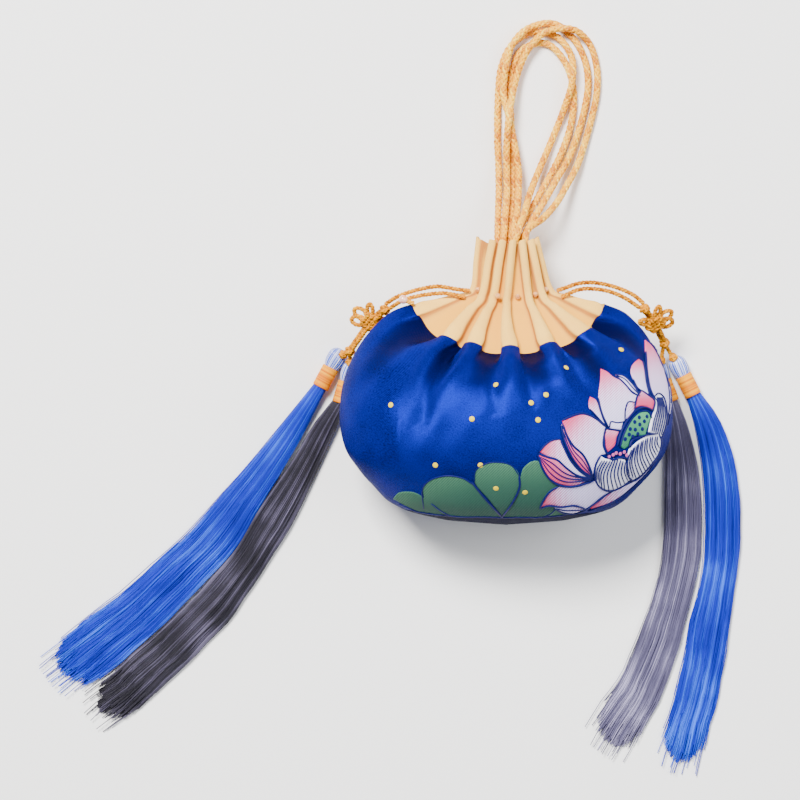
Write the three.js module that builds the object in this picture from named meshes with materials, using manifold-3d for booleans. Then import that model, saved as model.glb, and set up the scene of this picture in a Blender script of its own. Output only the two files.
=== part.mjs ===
// A gathered drawstring purse, lying on its back with its handles and tassels laid out flat.
// Millimetres, +Z up. The belly faces up, +Y runs from the base to the mouth and the handles,
// +X is to the viewer's right. The origin is on the floor, under the middle of the purse itself.
// The purse is three shells of cloth: a pleated neck, a belly and a round base. A bead sits in each
// valley of the neck. Two handles of doubled cord come out of the mouth, and on each side a doubled
// thin cord carries an ornamental knot with two tassels.
import * as THREE from "three";
import { mergeVertices } from "three/addons/utils/BufferGeometryUtils.js";
import Module from "manifold-3d";

const wasm = await Module();
wasm.setup();

// Driving dimensions
const PURSE_LENGTH = 145; // from the base to the mouth
const BODY_WIDTH = 166; // across the belly at its widest
const BODY_DEPTH = 92; // from the floor to the top of the belly
const BODY_WALL = 1.6; // brocade with its lining
const NECK_WALL = 1.2; // soft twill of the neck
const PLEAT_WIDTH = 4.2; // one pleat of the neck, across its fold at the drawstring
const PLEAT_DEPTH = 6; // from the ridge of a pleat to the valley beside it
const VALLEY_DROP = 4.5; // how much further down the seam lies in a valley than on a ridge
const FLOOR_EASE = 5; // height over which the belly rounds off into its flat resting patch
const SEAM_GAP = 0.8; // between two pieces of cloth that are sewn edge to edge
const CLEARANCE = 0.3; // between a piece and what it touches
const BEAD_DIAMETER = 2.8; // beads in the valleys of the neck
const BEAD_RISE = 1.4; // how far up the neck it lies from the drawstring
const SIDE_BEAD_DIAMETER = 4.4; // bead at the end of the drawstring, on the left shoulder
const SIDE_STUB_DIAMETER = 2.6; // drawstring end that carries it
const HANDLE_DIAMETER = 3.8; // braided satin cord of the handles
const LOOP_CORD_DIAMETER = 1.8; // thin cord that carries the knots
const TASSEL_HEAD_DIAMETER = 9.4;
const TASSEL_HEAD_LENGTH = 10.5;
const BINDING_DIAMETER = 8.8; // wound thread below the head
const BINDING_LENGTH = 11.5;
const BINDING_WALL = 0.8;
const SKIRT_WIDTH = 29; // of the fan of threads near its end
const SKIRT_HEIGHT = 6.4; // of the threads where they lie thickest
const KNOT_WIDTH = 9.4; // woven square in the middle of the ornamental knot
const BUTTON_DIAMETER = 4.6; // round knots before and after the square

const HALF_LENGTH = PURSE_LENGTH / 2;
const HALF_WIDTH = BODY_WIDTH / 2;
const DEGREE = Math.PI / 180;

// The rings of the purse from the mouth to the base. side and front are how far up the purse a ridge
// of the ring lies, at its sides and in the middle of its front, as shares of half the length.
// width, shift: its half width and its middle, as shares of half the body's width.
// middle, top, back: heights of its middle, front and back, as shares of the depth.
// fold, pleat: depth and width of its pleats, as shares of PLEAT_DEPTH and PLEAT_WIDTH.
// drop: how much lower the valleys lie, as a share of VALLEY_DROP.
// gather: 0 where the pleats stand as they do at the mouth, 1 at the drawstring, 2 at the seam.
const RING_COLUMNS = [
  "name", "side", "front", "width", "shift", "middle", "top", "back", "fold", "pleat", "drop",
  "gather",
];
const RINGS = [
  ["mouth", 1.0, 0.966, 0.19, 0.014, 0.326, 0.489, 0.163, 0.6, 0.95, 0.2, 0],
  ["collar", 0.841, 0.793, 0.215, 0.022, 0.352, 0.522, 0.182, 0.76, 1.0, 0, 0.45],
  ["drawstring", 0.634, 0.552, 0.253, 0.036, 0.38, 0.565, 0.196, 0.9, 1.0, 0, 1],
  ["flare", 0.593, 0.455, 0.345, 0.03, 0.41, 0.63, 0.185, 1.0, 1.2, 0.25, 1.33],
  ["drape", 0.559, 0.352, 0.452, 0.022, 0.425, 0.695, 0.163, 1.0, 1.65, 0.6, 1.66],
  ["seam", 0.528, 0.241, 0.575, 0.014, 0.44, 0.755, 0.141, 0.85, 2.3, 1.0, 2],
  ["shoulder", 0.434, 0.124, 0.741, 0.006, 0.455, 0.85, 0.043, 0.7, 2.7, 0.6, 2],
  ["upper_belly", 0.186, -0.055, 0.91, 0, 0.47, 0.951, -0.054, 0.42, 3.3, 0.2, 2],
  ["belly", -0.138, -0.283, 1.0, 0, 0.478, 1.0, -0.098, 0.18, 3.8, 0, 2],
  ["lower_belly", -0.469, -0.579, 0.964, 0, 0.478, 0.978, -0.087, 0.05, 3.8, 0, 2],
  ["heel", -0.724, -0.814, 0.795, 0, 0.467, 0.859, -0.022, 0, 3.8, 0, 2],
  ["foot", -0.862, -0.931, 0.651, 0, 0.45, 0.728, 0.087, 0, 3.8, 0, 2],
  ["base", -0.95, -0.978, 0.4, 0, 0.44, 0.6, 0.22, 0, 3.8, 0, 2],
].map((row) => Object.fromEntries(row.map((value, k) => [RING_COLUMNS[k], value])));
const SEAM = RINGS.findIndex((ring) => ring.name === "seam");
const FOOT = RINGS.findIndex((ring) => ring.name === "foot");
const BASE_MIDDLE = 0.44; // height of the base's middle, as a share of the depth
const SADDLE = 0.9; // how soon a ring drops from its sides to its front

// Where the ridge of each pleat stands round the ring, in degrees from the right side over the
// front, at the mouth, at the drawstring and at the seam. bead: how far the bead in the valley after
// the pleat stands off the bottom of it, in millimetres, or null where the valley holds none.
const PLEATS = [
  { name: "right", mouth: 0, drawstring: 0, seam: 0, bead: 0.7 },
  { name: "front_1", mouth: 36, drawstring: 36, seam: 36, bead: 0.6 },
  { name: "front_2", mouth: 60, drawstring: 64, seam: 66, bead: 0.15 },
  { name: "front_3", mouth: 81, drawstring: 99, seam: 90, bead: 3.6 },
  { name: "front_4", mouth: 102, drawstring: 121, seam: 113, bead: null },
  { name: "front_5", mouth: 124, drawstring: 143, seam: 131, bead: 0.8 },
  { name: "left", mouth: 180, drawstring: 180, seam: 180, bead: 1 },
  { name: "back_1", mouth: 210, drawstring: 210, seam: 210, bead: 0.8 },
  { name: "back_2", mouth: 240, drawstring: 240, seam: 240, bead: 0.7 },
  { name: "back_3", mouth: 270, drawstring: 270, seam: 270, bead: 0.7 },
  { name: "back_4", mouth: 300, drawstring: 300, seam: 300, bead: 0.9 },
  { name: "back_5", mouth: 330, drawstring: 330, seam: 330, bead: 1 },
];

// The columns of one pleat: how far from its ridge they stand, as a share of the pleat's half width,
// how much of that is tucked in where the fold is full, and how deep they lie, as a share of the
// fold. The column of the valley is placed between two pleats.
const PLEAT_COLUMNS = [
  { name: "foot_before", across: -1.15, tuck: 0.32, depth: 0.86 },
  { name: "shoulder_before", across: -0.9, tuck: 0, depth: 0.3 },
  { name: "ridge", across: 0, tuck: 0, depth: 0 },
  { name: "shoulder_after", across: 0.9, tuck: 0, depth: 0.3 },
  { name: "foot_after", across: 1.15, tuck: 0.32, depth: 0.86 },
];
const CROWDED = 0.4; // a pleat's half width takes at most this share of the way to its neighbour

const mix = (a, b, t) => a + (b - a) * t;

// A ridge's angle at a ring, in radians.
function ridgeAngle(pleat, gather) {
  const degrees =
    gather <= 1
      ? mix(pleat.mouth, pleat.drawstring, gather)
      : mix(pleat.drawstring, pleat.seam, gather - 1);
  return degrees * DEGREE;
}

// Height above the floor of a point that would lie at z if the floor weren't there.
function rested(z) {
  if (z <= -FLOOR_EASE) return 0;
  if (z >= FLOOR_EASE) return z;
  return (z + FLOOR_EASE) ** 2 / (4 * FLOOR_EASE);
}

// A point of a ring at an angle, set in by inset millimetres, with its share of the fold's depth.
function ringPoint(ring, angle, inset, depthShare) {
  const up = Math.sin(angle);
  const middle = ring.middle * BODY_DEPTH;
  const reach = up >= 0 ? ring.top * BODY_DEPTH - middle : middle - ring.back * BODY_DEPTH;
  const along = mix(ring.side, ring.front, Math.abs(up) ** SADDLE) * HALF_LENGTH;
  return new THREE.Vector3(
    ring.shift * HALF_WIDTH + (ring.width * HALF_WIDTH - inset) * Math.cos(angle),
    along - ring.drop * VALLEY_DROP * depthShare,
    rested(middle + (reach - inset) * up),
  );
}

// Millimetres of ring per radian at an angle.
function stretchAt(ring, angle, inset) {
  const reach = (ring.top - ring.back) * BODY_DEPTH * 0.5 - inset;
  return Math.hypot((ring.width * HALF_WIDTH - inset) * Math.sin(angle), reach * Math.cos(angle));
}

// The outer points of one ring, all the way round: for each pleat its columns, then the valley after.
function ringPoints(ring) {
  const fold = ring.fold * PLEAT_DEPTH;
  const ridges = PLEATS.map((pleat) => ridgeAngle(pleat, ring.gather));
  const turn = 2 * Math.PI;
  const feet = [];
  const rows = ridges.map((ridge, k) => {
    const before = (ridge - ridges.at(k - 1) + turn) % turn;
    const after = (ridges[(k + 1) % ridges.length] - ridge + turn) % turn;
    const columns = PLEAT_COLUMNS.map((column) => {
      const inset = column.depth * fold;
      const room = CROWDED * Math.min(before, after);
      const wanted = (0.5 * ring.pleat * PLEAT_WIDTH) / stretchAt(ring, ridge, inset);
      const across = column.across * (1 - column.tuck * ring.fold);
      return { angle: ridge + across * Math.min(wanted, room), inset, depth: column.depth };
    });
    feet.push({ first: columns[0].angle, last: columns.at(-1).angle });
    return columns;
  });
  const points = [];
  rows.forEach((columns, k) => {
    columns.forEach((c) => points.push(ringPoint(ring, c.angle, c.inset, c.depth)));
    const next = feet[(k + 1) % feet.length].first + (k + 1 === feet.length ? turn : 0);
    points.push(ringPoint(ring, (feet[k].last + next) / 2, fold, 1));
  });
  return points;
}

// A closed mesh from rings of points, each ring joined to the next. The order of the rings runs
// over the outer surface and back over the inner one, and first and last rings are joined too.
// A ring of one point is a pole.
function loopedRings(rings, closed) {
  const positions = [];
  const starts = rings.map((ring) => {
    const start = positions.length / 3;
    ring.forEach((p) => positions.push(p.x, p.y, p.z));
    return start;
  });
  const index = [];
  const pairs = closed ? rings.length : rings.length - 1;
  for (let r = 0; r < pairs; r++) {
    const a = rings[r];
    const b = rings[(r + 1) % rings.length];
    const columns = Math.max(a.length, b.length);
    for (let c = 0; c < columns; c++) {
      const d = (c + 1) % columns;
      const at = (start, ring, column) => start + (ring.length === 1 ? 0 : column);
      const a0 = at(starts[r], a, c);
      const a1 = at(starts[r], a, d);
      const b0 = at(starts[(r + 1) % rings.length], b, c);
      const b1 = at(starts[(r + 1) % rings.length], b, d);
      if (a0 !== a1) index.push(a0, a1, b0);
      if (b0 !== b1) index.push(a1, b1, b0);
    }
  }
  return new THREE.BufferGeometry()
    .setAttribute("position", new THREE.Float32BufferAttribute(positions, 3))
    .setIndex(index);
}

// The outward normal at each point of a grid of rings, lengthened at a fold so that a wall offset
// along it keeps its thickness.
function gridNormals(rings) {
  const facing = (a, b, c) => c.clone().sub(a).cross(b.clone().sub(a)).normalize();
  return rings.map((ring, r) =>
    ring.map((point, c) => {
      const count = ring.length;
      const left = ring[(c - 1 + count) % count];
      const right = ring[(c + 1) % count];
      const faces = [];
      if (r > 0) {
        const up = rings[r - 1][c];
        faces.push(facing(point, right, up), facing(point, up, left));
      }
      if (r < rings.length - 1) {
        const down = rings[r + 1][c];
        faces.push(facing(point, down, right), facing(point, left, down));
      }
      const sum = faces.reduce((total, face) => total.add(face), new THREE.Vector3()).normalize();
      const facingIt = faces.reduce((total, face) => total + face.dot(sum), 0) / faces.length;
      return sum.multiplyScalar(1 / Math.max(facingIt, 0.72));
    }),
  );
}

// manifold-3d solids from and to three.js geometries.
function toSolid(geometry) {
  const bare = new THREE.BufferGeometry()
    .setAttribute("position", geometry.getAttribute("position"))
    .setIndex(geometry.index);
  const merged = mergeVertices(bare, 1e-4);
  const solid = new wasm.Manifold(
    new wasm.Mesh({
      numProp: 3,
      vertProperties: merged.attributes.position.array,
      triVerts: new Uint32Array(merged.index.array),
    }),
  );
  return solid.volume() < 0 ? toSolid(turnedOut(merged)) : solid;
}

// The same geometry with each face turned round.
function turnedOut(geometry) {
  const index = Array.from(geometry.index.array);
  for (let i = 0; i < index.length; i += 3) [index[i], index[i + 1]] = [index[i + 1], index[i]];
  return geometry.clone().setIndex(index);
}

function toGeometry(solid) {
  const mesh = solid.getMesh();
  const positions = new Float32Array(mesh.numVert * 3);
  for (let i = 0; i < mesh.numVert; i++) {
    positions.set(mesh.vertProperties.subarray(i * mesh.numProp, i * mesh.numProp + 3), i * 3);
  }
  return new THREE.BufferGeometry()
    .setAttribute("position", new THREE.BufferAttribute(positions, 3))
    .setIndex(new THREE.BufferAttribute(mesh.triVerts, 1));
}

const joined = (solids) => solids.reduce((whole, solid) => whole.add(solid));

// Materials
const finish = (color, roughness, metalness = 0) =>
  new THREE.MeshStandardMaterial({ color, roughness, metalness });
const MATERIALS = {
  brocade: finish(0x1f3fb4, 0.5),
  twill: finish(0xf2d9a6, 0.85),
  baseCloth: finish(0x16265c, 0.6),
  satinCord: finish(0xeeb55e, 0.4),
  knotCord: finish(0xeaa50f, 0.5),
  blueThread: finish(0x3a63d8, 0.4),
  greyThread: finish(0x3f3c4c, 0.4),
  goldThread: finish(0xf5a623, 0.35),
  pearl: finish(0xe9b98a, 0.25),
};

const purse = new THREE.Group();
function addPiece(name, geometry, material) {
  const mesh = new THREE.Mesh(geometry, material);
  mesh.name = name;
  purse.add(mesh);
  return mesh;
}

// The cloth: one grid of rings, whose walls are split at the neck seam and at the base seam
const outerRings = RINGS.map(ringPoints);
const normals = gridNormals(outerRings);
const innerRings = outerRings.map((ring, r) => {
  const wall = r < SEAM ? NECK_WALL : BODY_WALL;
  return ring.map((point, c) => point.clone().addScaledVector(normals[r][c], -wall));
});

// Outer and inner rings whose first pair is moved a little way towards the next, for a seam's gap.
function easedOff(outer, inner) {
  const way = outer[0].map((point, c) => outer[1][c].clone().sub(point).setLength(SEAM_GAP));
  const moved = (ring) => ring.map((point, c) => point.clone().add(way[c]));
  return [
    [moved(outer[0]), ...outer.slice(1)],
    [moved(inner[0]), ...inner.slice(1)],
  ];
}

function clothShell(name, from, to, material) {
  let outer = outerRings.slice(from, to + 1);
  let inner = innerRings.slice(from, to + 1);
  if (from > 0) [outer, inner] = easedOff(outer, inner);
  addPiece(name, toGeometry(toSolid(loopedRings([...outer, ...inner.reverse()], true))), material);
}
clothShell("neck", 0, SEAM, MATERIALS.twill);
clothShell("body", SEAM, FOOT, MATERIALS.brocade);

function baseShell() {
  const [outer, inner] = easedOff(outerRings.slice(FOOT), innerRings.slice(FOOT));
  const middle = new THREE.Vector3(0, -HALF_LENGTH, BASE_MIDDLE * BODY_DEPTH);
  const lining = middle.clone().add(new THREE.Vector3(0, BODY_WALL, 0));
  const rings = [[middle], ...outer.reverse(), ...inner, [lining]];
  addPiece("base", toGeometry(toSolid(loopedRings(rings, false))), MATERIALS.baseCloth);
}
baseShell();

// A tube along points with the section of a regular polygon
function tube(points, diameter, sides, steps) {
  const path = new THREE.CatmullRomCurve3(points, false, "centripetal");
  const section = new THREE.Shape();
  for (let k = 0; k < sides; k++) {
    const angle = (2 * Math.PI * k) / sides;
    const at = [0.5 * diameter * Math.cos(angle), 0.5 * diameter * Math.sin(angle)];
    if (k === 0) section.moveTo(...at);
    else section.lineTo(...at);
  }
  section.closePath();
  return new THREE.ExtrudeGeometry(section, { steps, extrudePath: path });
}

function addTube(name, points, diameter, sides, steps, material) {
  const geometry = tube(points, diameter, sides, steps);
  const merged = mergeVertices(
    new THREE.BufferGeometry().setAttribute("position", geometry.getAttribute("position")),
    1e-4,
  );
  addPiece(name, toGeometry(toSolid(merged)), material);
}

const points = (rows) => rows.map((row) => new THREE.Vector3(...row));

// The beads in the valleys of the neck
const DRAWSTRING = RINGS.findIndex((ring) => ring.name === "drawstring");
const BEAD_SIDES = 10;
function beadGeometry(diameter, rows = 4) {
  const profile = [];
  for (let k = 0; k <= rows; k++) {
    const angle = -Math.PI / 2 + (Math.PI * k) / rows;
    profile.push(new THREE.Vector2(0.5 * diameter * Math.cos(angle), 0.5 * diameter * Math.sin(angle)));
  }
  profile[0].x = 0;
  profile[rows].x = 0;
  return new THREE.LatheGeometry(profile, BEAD_SIDES);
}

const VALLEY = PLEAT_COLUMNS.length; // column of the valley after a pleat
const neckMiddle = new THREE.Vector3(
  RINGS[DRAWSTRING].shift * HALF_WIDTH,
  0,
  RINGS[DRAWSTRING].middle * BODY_DEPTH,
);
PLEATS.forEach((pleat, k) => {
  if (pleat.bead === null) return;
  const valley = outerRings[DRAWSTRING][k * (VALLEY + 1) + VALLEY];
  const out = valley.clone().sub(neckMiddle).setY(0).normalize();
  const bead = addPiece(`neck_bead_${k + 1}`, beadGeometry(BEAD_DIAMETER), MATERIALS.pearl);
  const up = new THREE.Vector3(0, BEAD_RISE, 0);
  bead.position.copy(valley).addScaledVector(out, 0.5 * BEAD_DIAMETER + pleat.bead).add(up);
});

// The end of the drawstring with its bead, beside the top of the left pleat at the seam
const LEFT = PLEATS.findIndex((pleat) => pleat.name === "left");
const RIDGE = PLEAT_COLUMNS.findIndex((column) => column.name === "ridge");
const LEFT_SEAM = outerRings[SEAM][LEFT * (VALLEY + 1) + RIDGE];
const SIDE_BEAD = LEFT_SEAM.clone().add(new THREE.Vector3(-4.8, 2, 3.4));
const SIDE_STUB = LEFT_SEAM.clone().add(new THREE.Vector3(0.4, 0, 2));
const solidOf = (geometry) =>
  toSolid(
    mergeVertices(
      new THREE.BufferGeometry().setAttribute(
        "position",
        (geometry.index ? geometry.toNonIndexed() : geometry).getAttribute("position"),
      ),
      1e-4,
    ),
  );
const tubeSolid = (path, diameter, sides, steps) => solidOf(tube(path, diameter, sides, steps));
const beadSolid = (centre, diameter, rows = 5) =>
  solidOf(beadGeometry(diameter, rows).translate(centre.x, centre.y, centre.z));
addPiece(
  "side_bead",
  toGeometry(
    joined([
      beadSolid(SIDE_BEAD, SIDE_BEAD_DIAMETER),
      tubeSolid([SIDE_BEAD, SIDE_STUB], SIDE_STUB_DIAMETER, 8, 1),
    ]),
  ),
  MATERIALS.pearl,
);

// The handles: waypoints (x, y, z) of each cord, from inside the mouth round and back into it.
// The ends lie in two layers in the mouth, and outside each crossing is one cord over another.
const HANDLE_CORDS = [
  [
    [-3, 50, 33], [-2, 62, 29], [-0.5, 74, 25.5], [0.5, 85, 18.5], [1.5, 96, 12],
    [1.5, 108.5, 8.5], [1.5, 121, 9], [2.5, 134, 11], [4.5, 146, 8], [7.5, 158, 5.5], [13, 170, 6],
    [22, 178.5, 7], [35.5, 179.5, 7.5], [44, 173, 3], [48, 160.5, 2], [48, 147.5, 2],
    [45.5, 135, 2], [42, 122.5, 2.5], [38, 110.5, 4.5], [32.5, 100, 8.5], [26.5, 90, 14.5],
    [19.5, 82, 21.5], [11, 75, 28.5], [10.5, 62.5, 31.5], [10, 50, 33],
  ],
  [
    [4.5, 50, 29], [4.5, 62.5, 27.5], [4.5, 75.5, 26], [6.5, 85.5, 18], [7.5, 96.5, 11],
    [7.5, 108.5, 7.5], [5.5, 121.5, 6.5], [3, 134, 6.5], [0, 146.5, 6], [1, 159.5, 7],
    [4.5, 172, 6.5], [13, 180.5, 5.5], [26, 183, 3], [36, 175.5, 2], [42, 164, 2],
    [43.5, 151.5, 2], [41.5, 138.5, 2], [38, 126, 2.5], [33.5, 114, 4], [27.5, 103.5, 7.5],
    [21.5, 93, 12.5], [15.5, 83, 18.5], [10, 73.5, 25], [7, 61.5, 29], [6, 49.5, 32.5],
  ],
  [
    [0, 50, 28.5], [1, 62, 25], [2.5, 74.5, 21.5], [3.5, 84.5, 14], [4.5, 95.5, 7.5],
    [4.5, 108, 4], [4.5, 120.5, 2.5], [4, 133.5, 2], [3.5, 146, 2], [4.5, 159, 2], [10, 170, 2],
    [22, 173, 2], [31, 164.5, 2], [35.5, 152.5, 2], [36, 139.5, 2], [33.5, 127, 2], [29, 115, 2.5],
    [23.5, 104, 5], [17.5, 93.5, 9.5], [12, 84, 15.5], [6.5, 74, 22], [7.5, 61.5, 24.5],
    [9, 49.5, 28.5],
  ],
  [
    [-4.5, 49.5, 28], [-4, 62, 25], [-3.5, 74.5, 21.5], [-3, 85.5, 14.5], [-2.5, 97, 9],
    [-2.5, 109.5, 4.5], [-3, 122.5, 2.5], [-3, 135.5, 2], [-2.5, 148.5, 2], [-1, 161, 2],
    [5, 173, 2], [16, 179, 2], [28, 176, 2.5], [35, 165.5, 4.5], [35, 152.5, 6.5],
    [31.5, 140.5, 4], [27, 128.5, 2.5], [22, 116.5, 3.5], [17, 105, 7.5], [13, 94.5, 14],
    [10, 84.5, 22], [6.5, 75, 30], [3.5, 63, 32], [2, 50, 33],
  ],
];
const CORD_SIDES = 8;
const HANDLE_STEP = 3; // length of a step of the tube, in diameters
const cordSteps = (path, diameter) => {
  const length = new THREE.CatmullRomCurve3(path, false, "centripetal").getLength();
  return Math.max(1, Math.round(length / (HANDLE_STEP * diameter)));
};
function addCord(name, path, diameter, material) {
  const solid = tubeSolid(path, diameter, CORD_SIDES, cordSteps(path, diameter));
  addPiece(name, toGeometry(solid), material);
}
HANDLE_CORDS.forEach((rows, k) => {
  addCord(`handle_cord_${k + 1}`, points(rows), HANDLE_DIAMETER, MATERIALS.satinCord);
});

// The two sides. On each a doubled cord leaves the neck and arches over the shoulder to a knot.
// strands: waypoints (x, y, z) of the two cords. button, square, lower: the knots of the chain.
// tassels: the centre of the head (x, y), and the middle of the skirt (x, y) with its width as a
// share of SKIRT_WIDTH.
const SIDES = {
  left: {
    strands: [
      [
        [-18.4, 44.8, 38.7], [-21.5, 45, 40.2], [-25.8, 45.6, 41], [-33.9, 46.8, 41.6],
        [-41.4, 45.8, 41], [-49, 43.8, 39.6], [-55.5, 41.2, 37.8], [-60.2, 38.2, 35.4],
      ],
      [
        [-20.8, 41.4, 40.8], [-24.5, 42.4, 41.6], [-31.1, 43.4, 41.6], [-39.2, 42.8, 40.8],
        [-46.8, 41.4, 39.8], [-53, 39.2, 38.4], [-58.3, 35.9, 35.6],
      ],
    ],
    button: [-60.8, 35.4, 34.6],
    square: [-67.9, 29.7, 27],
    lower: [-78.6, 15, 13.2],
    outward: [-1, 0.6],
    tassels: {
      blue: {
        head: [-85.8, 11.5],
        skirt: [
          { x: -95.3, y: -6.2, width: 0.24 },
          { x: -112.3, y: -31.5, width: 0.47 },
          { x: -129.7, y: -56.2, width: 0.62 },
          { x: -147.8, y: -80, width: 0.79 },
          { x: -165.9, y: -99, width: 0.86 },
          { x: -185, y: -117, width: 0.93 },
          { x: -208, y: -135.5, width: 1 },
          { x: -230, y: -152, width: 1 },
        ],
      },
      grey: {
        head: [-78.6, 4.6],
        skirt: [
          { x: -83.7, y: -11.8, width: 0.24 },
          { x: -92.5, y: -26, width: 0.39 },
          { x: -101.3, y: -43.4, width: 0.46 },
          { x: -114, y: -65.6, width: 0.59 },
          { x: -129.8, y: -91, width: 0.63 },
          { x: -148.8, y: -116, width: 0.72 },
          { x: -169.3, y: -137, width: 0.76 },
          { x: -190.5, y: -156.4, width: 0.79 },
          { x: -209, y: -171, width: 0.83 },
        ],
      },
    },
  },
  right: {
    strands: [
      [
        [25.8, 44.9, 38.4], [28.6, 45.8, 39.6], [31.8, 46.9, 40.6], [35.8, 48.2, 41.4],
        [41.8, 48.8, 41.6], [49.5, 47.9, 41], [57.8, 45.5, 39.4], [64.5, 42.4, 37.4], [69.2, 38.6, 35.4],
      ],
      [
        [27.8, 41.6, 40.9], [31, 43, 41.2], [34.5, 44.6, 41.2], [38.7, 45.6, 41],
        [46.4, 45.4, 40.4], [53, 44, 39.4], [60.4, 40.8, 37.6], [67.3, 36.3, 35.6],
      ],
    ],
    button: [69.8, 35.8, 34.6],
    square: [75.7, 28.9, 27],
    lower: [81.6, 19, 14],
    outward: [1, 0.6],
    tassels: {
      blue: {
        head: [89.6, 7.5],
        skirt: [
          { x: 97.4, y: -7.7, width: 0.24 },
          { x: 104.8, y: -22.5, width: 0.43 },
          { x: 110.8, y: -46, width: 0.59 },
          { x: 112.8, y: -76, width: 0.64 },
          { x: 110.4, y: -104, width: 0.66 },
          { x: 105.8, y: -128, width: 0.69 },
          { x: 101.2, y: -152, width: 0.72 },
          { x: 95, y: -176, width: 0.76 },
          { x: 89.6, y: -197.5, width: 0.83 },
        ],
      },
      grey: {
        head: [79.8, 5],
        skirt: [
          { x: 86, y: -11, width: 0.24 },
          { x: 89.6, y: -28, width: 0.43 },
          { x: 91.8, y: -50, width: 0.6 },
          { x: 92.4, y: -76, width: 0.67 },
          { x: 89, y: -104, width: 0.64 },
          { x: 81.5, y: -130, width: 0.69 },
          { x: 71.5, y: -155, width: 0.76 },
          { x: 61, y: -174, width: 0.83 },
          { x: 53, y: -188, width: 0.97 },
        ],
      },
    },
  },
};

// The loops of the ornamental knot, in its own plane, as shares of KNOT_WIDTH. along: down the
// chain. across: away from the purse. round: how far the loop opens to each side.
const KNOT_EARS = [
  { name: "narrow", along: -0.7, across: 0.4, round: 0.14 },
  { name: "upper", along: 0.04, across: 0.7, round: 0.24 },
  { name: "lower", along: 0.6, across: 0.49, round: 0.24 },
  { name: "inner", along: -0.58, across: -0.52, round: 0.16 },
];

// The line of one loop: how far out along it, and how far aside, as shares of the loop's own sizes.
const EAR_LOOP = [
  [0.3, -0.5], [0.75, -1], [1.1, -0.8], [1.3, 0], [1.1, 0.8], [0.75, 1], [0.3, 0.5],
];

// A knot with its square, its loops, the buttons before and after it and the legs of the tassels.
function knotSolid(side) {
  const button = new THREE.Vector3(...side.button);
  const square = new THREE.Vector3(...side.square);
  const lower = new THREE.Vector3(...side.lower);
  const down = lower.clone().sub(button).normalize();
  const outward = new THREE.Vector3(...side.outward, 0);
  const out = outward.addScaledVector(down, -outward.dot(down)).normalize();
  const face = down.clone().cross(out).normalize();
  const at = (along, across) =>
    square.clone().addScaledVector(down, along).addScaledVector(out, across);
  const half = KNOT_WIDTH / 2;
  const corner = 0.35 * half;
  const outline = new THREE.Shape();
  outline.moveTo(-half, corner - half);
  const cut = half - corner;
  [[-1, 1], [1, 1], [1, -1], [-1, -1]].forEach(([sx, sy], k) => {
    const before = k % 2 ? [cut, half] : [half, cut];
    const after = k % 2 ? [half, cut] : [cut, half];
    outline.lineTo(sx * before[0], sy * before[1]);
    outline.lineTo(sx * after[0], sy * after[1]);
  });
  outline.closePath();
  const thick = 2 * LOOP_CORD_DIAMETER;
  const block = new THREE.ExtrudeGeometry(outline, { depth: thick, bevelEnabled: false, steps: 1 });
  block.translate(0, 0, -thick / 2);
  block.applyMatrix4(new THREE.Matrix4().makeBasis(down, out, face).setPosition(square));
  const solids = [solidOf(block)];
  KNOT_EARS.forEach((ear) => {
    const share = Math.hypot(ear.along, ear.across);
    const [ux, uy] = [ear.along / share, ear.across / share];
    const reach = share * KNOT_WIDTH;
    const path = EAR_LOOP.map(([far, aside]) => {
      const [a, b] = [far * reach, aside * ear.round * KNOT_WIDTH];
      return at(a * ux - b * uy, a * uy + b * ux);
    });
    solids.push(tubeSolid(path, LOOP_CORD_DIAMETER, 8, 6));
  });
  solids.push(beadSolid(button, BUTTON_DIAMETER), beadSolid(lower, BUTTON_DIAMETER));
  const lead = 1.5 * LOOP_CORD_DIAMETER;
  solids.push(tubeSolid([button, square], lead, 8, 1), tubeSolid([square, lower], lead, 8, 1));
  Object.values(side.tassels).forEach((tassel) => {
    const head = new THREE.Vector3(...tassel.head, 0.5 * TASSEL_HEAD_DIAMETER);
    const way = lower.clone().sub(head);
    const stop = head.clone().addScaledVector(way.normalize(), 0.5 * TASSEL_HEAD_LENGTH + CLEARANCE);
    solids.push(tubeSolid([lower, stop], LOOP_CORD_DIAMETER, 8, 1));
  });
  return joined(solids);
}

// A solid of revolution about a line from a point, its profile rows being [along, radius].
function turnedSolid(from, direction, profile, sides) {
  const turned = new THREE.LatheGeometry(profile.map(([y, r]) => new THREE.Vector2(r, y)), sides);
  const turn = new THREE.Quaternion().setFromUnitVectors(new THREE.Vector3(0, 1, 0), direction);
  turned.applyQuaternion(turn).translate(from.x, from.y, from.z);
  return solidOf(turned);
}

// One lock of a skirt: how far aside it runs, as a share of the skirt's width, and how long it is.
const LOCKS = [
  { name: "outer", aside: -0.4, long: 0.93 },
  { name: "outer_middle", aside: -0.2, long: 1.0 },
  { name: "middle", aside: 0, long: 0.96 },
  { name: "inner_middle", aside: 0.2, long: 0.99 },
  { name: "inner", aside: 0.4, long: 0.91 },
];
const LOCK_SECTIONS = 8;
const LOCK_SIDES = 6;
const LOCK_FILL = 0.88; // share of its own strip that a lock takes
const TIP = 0.45; // how narrow a lock is at its end

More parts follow.
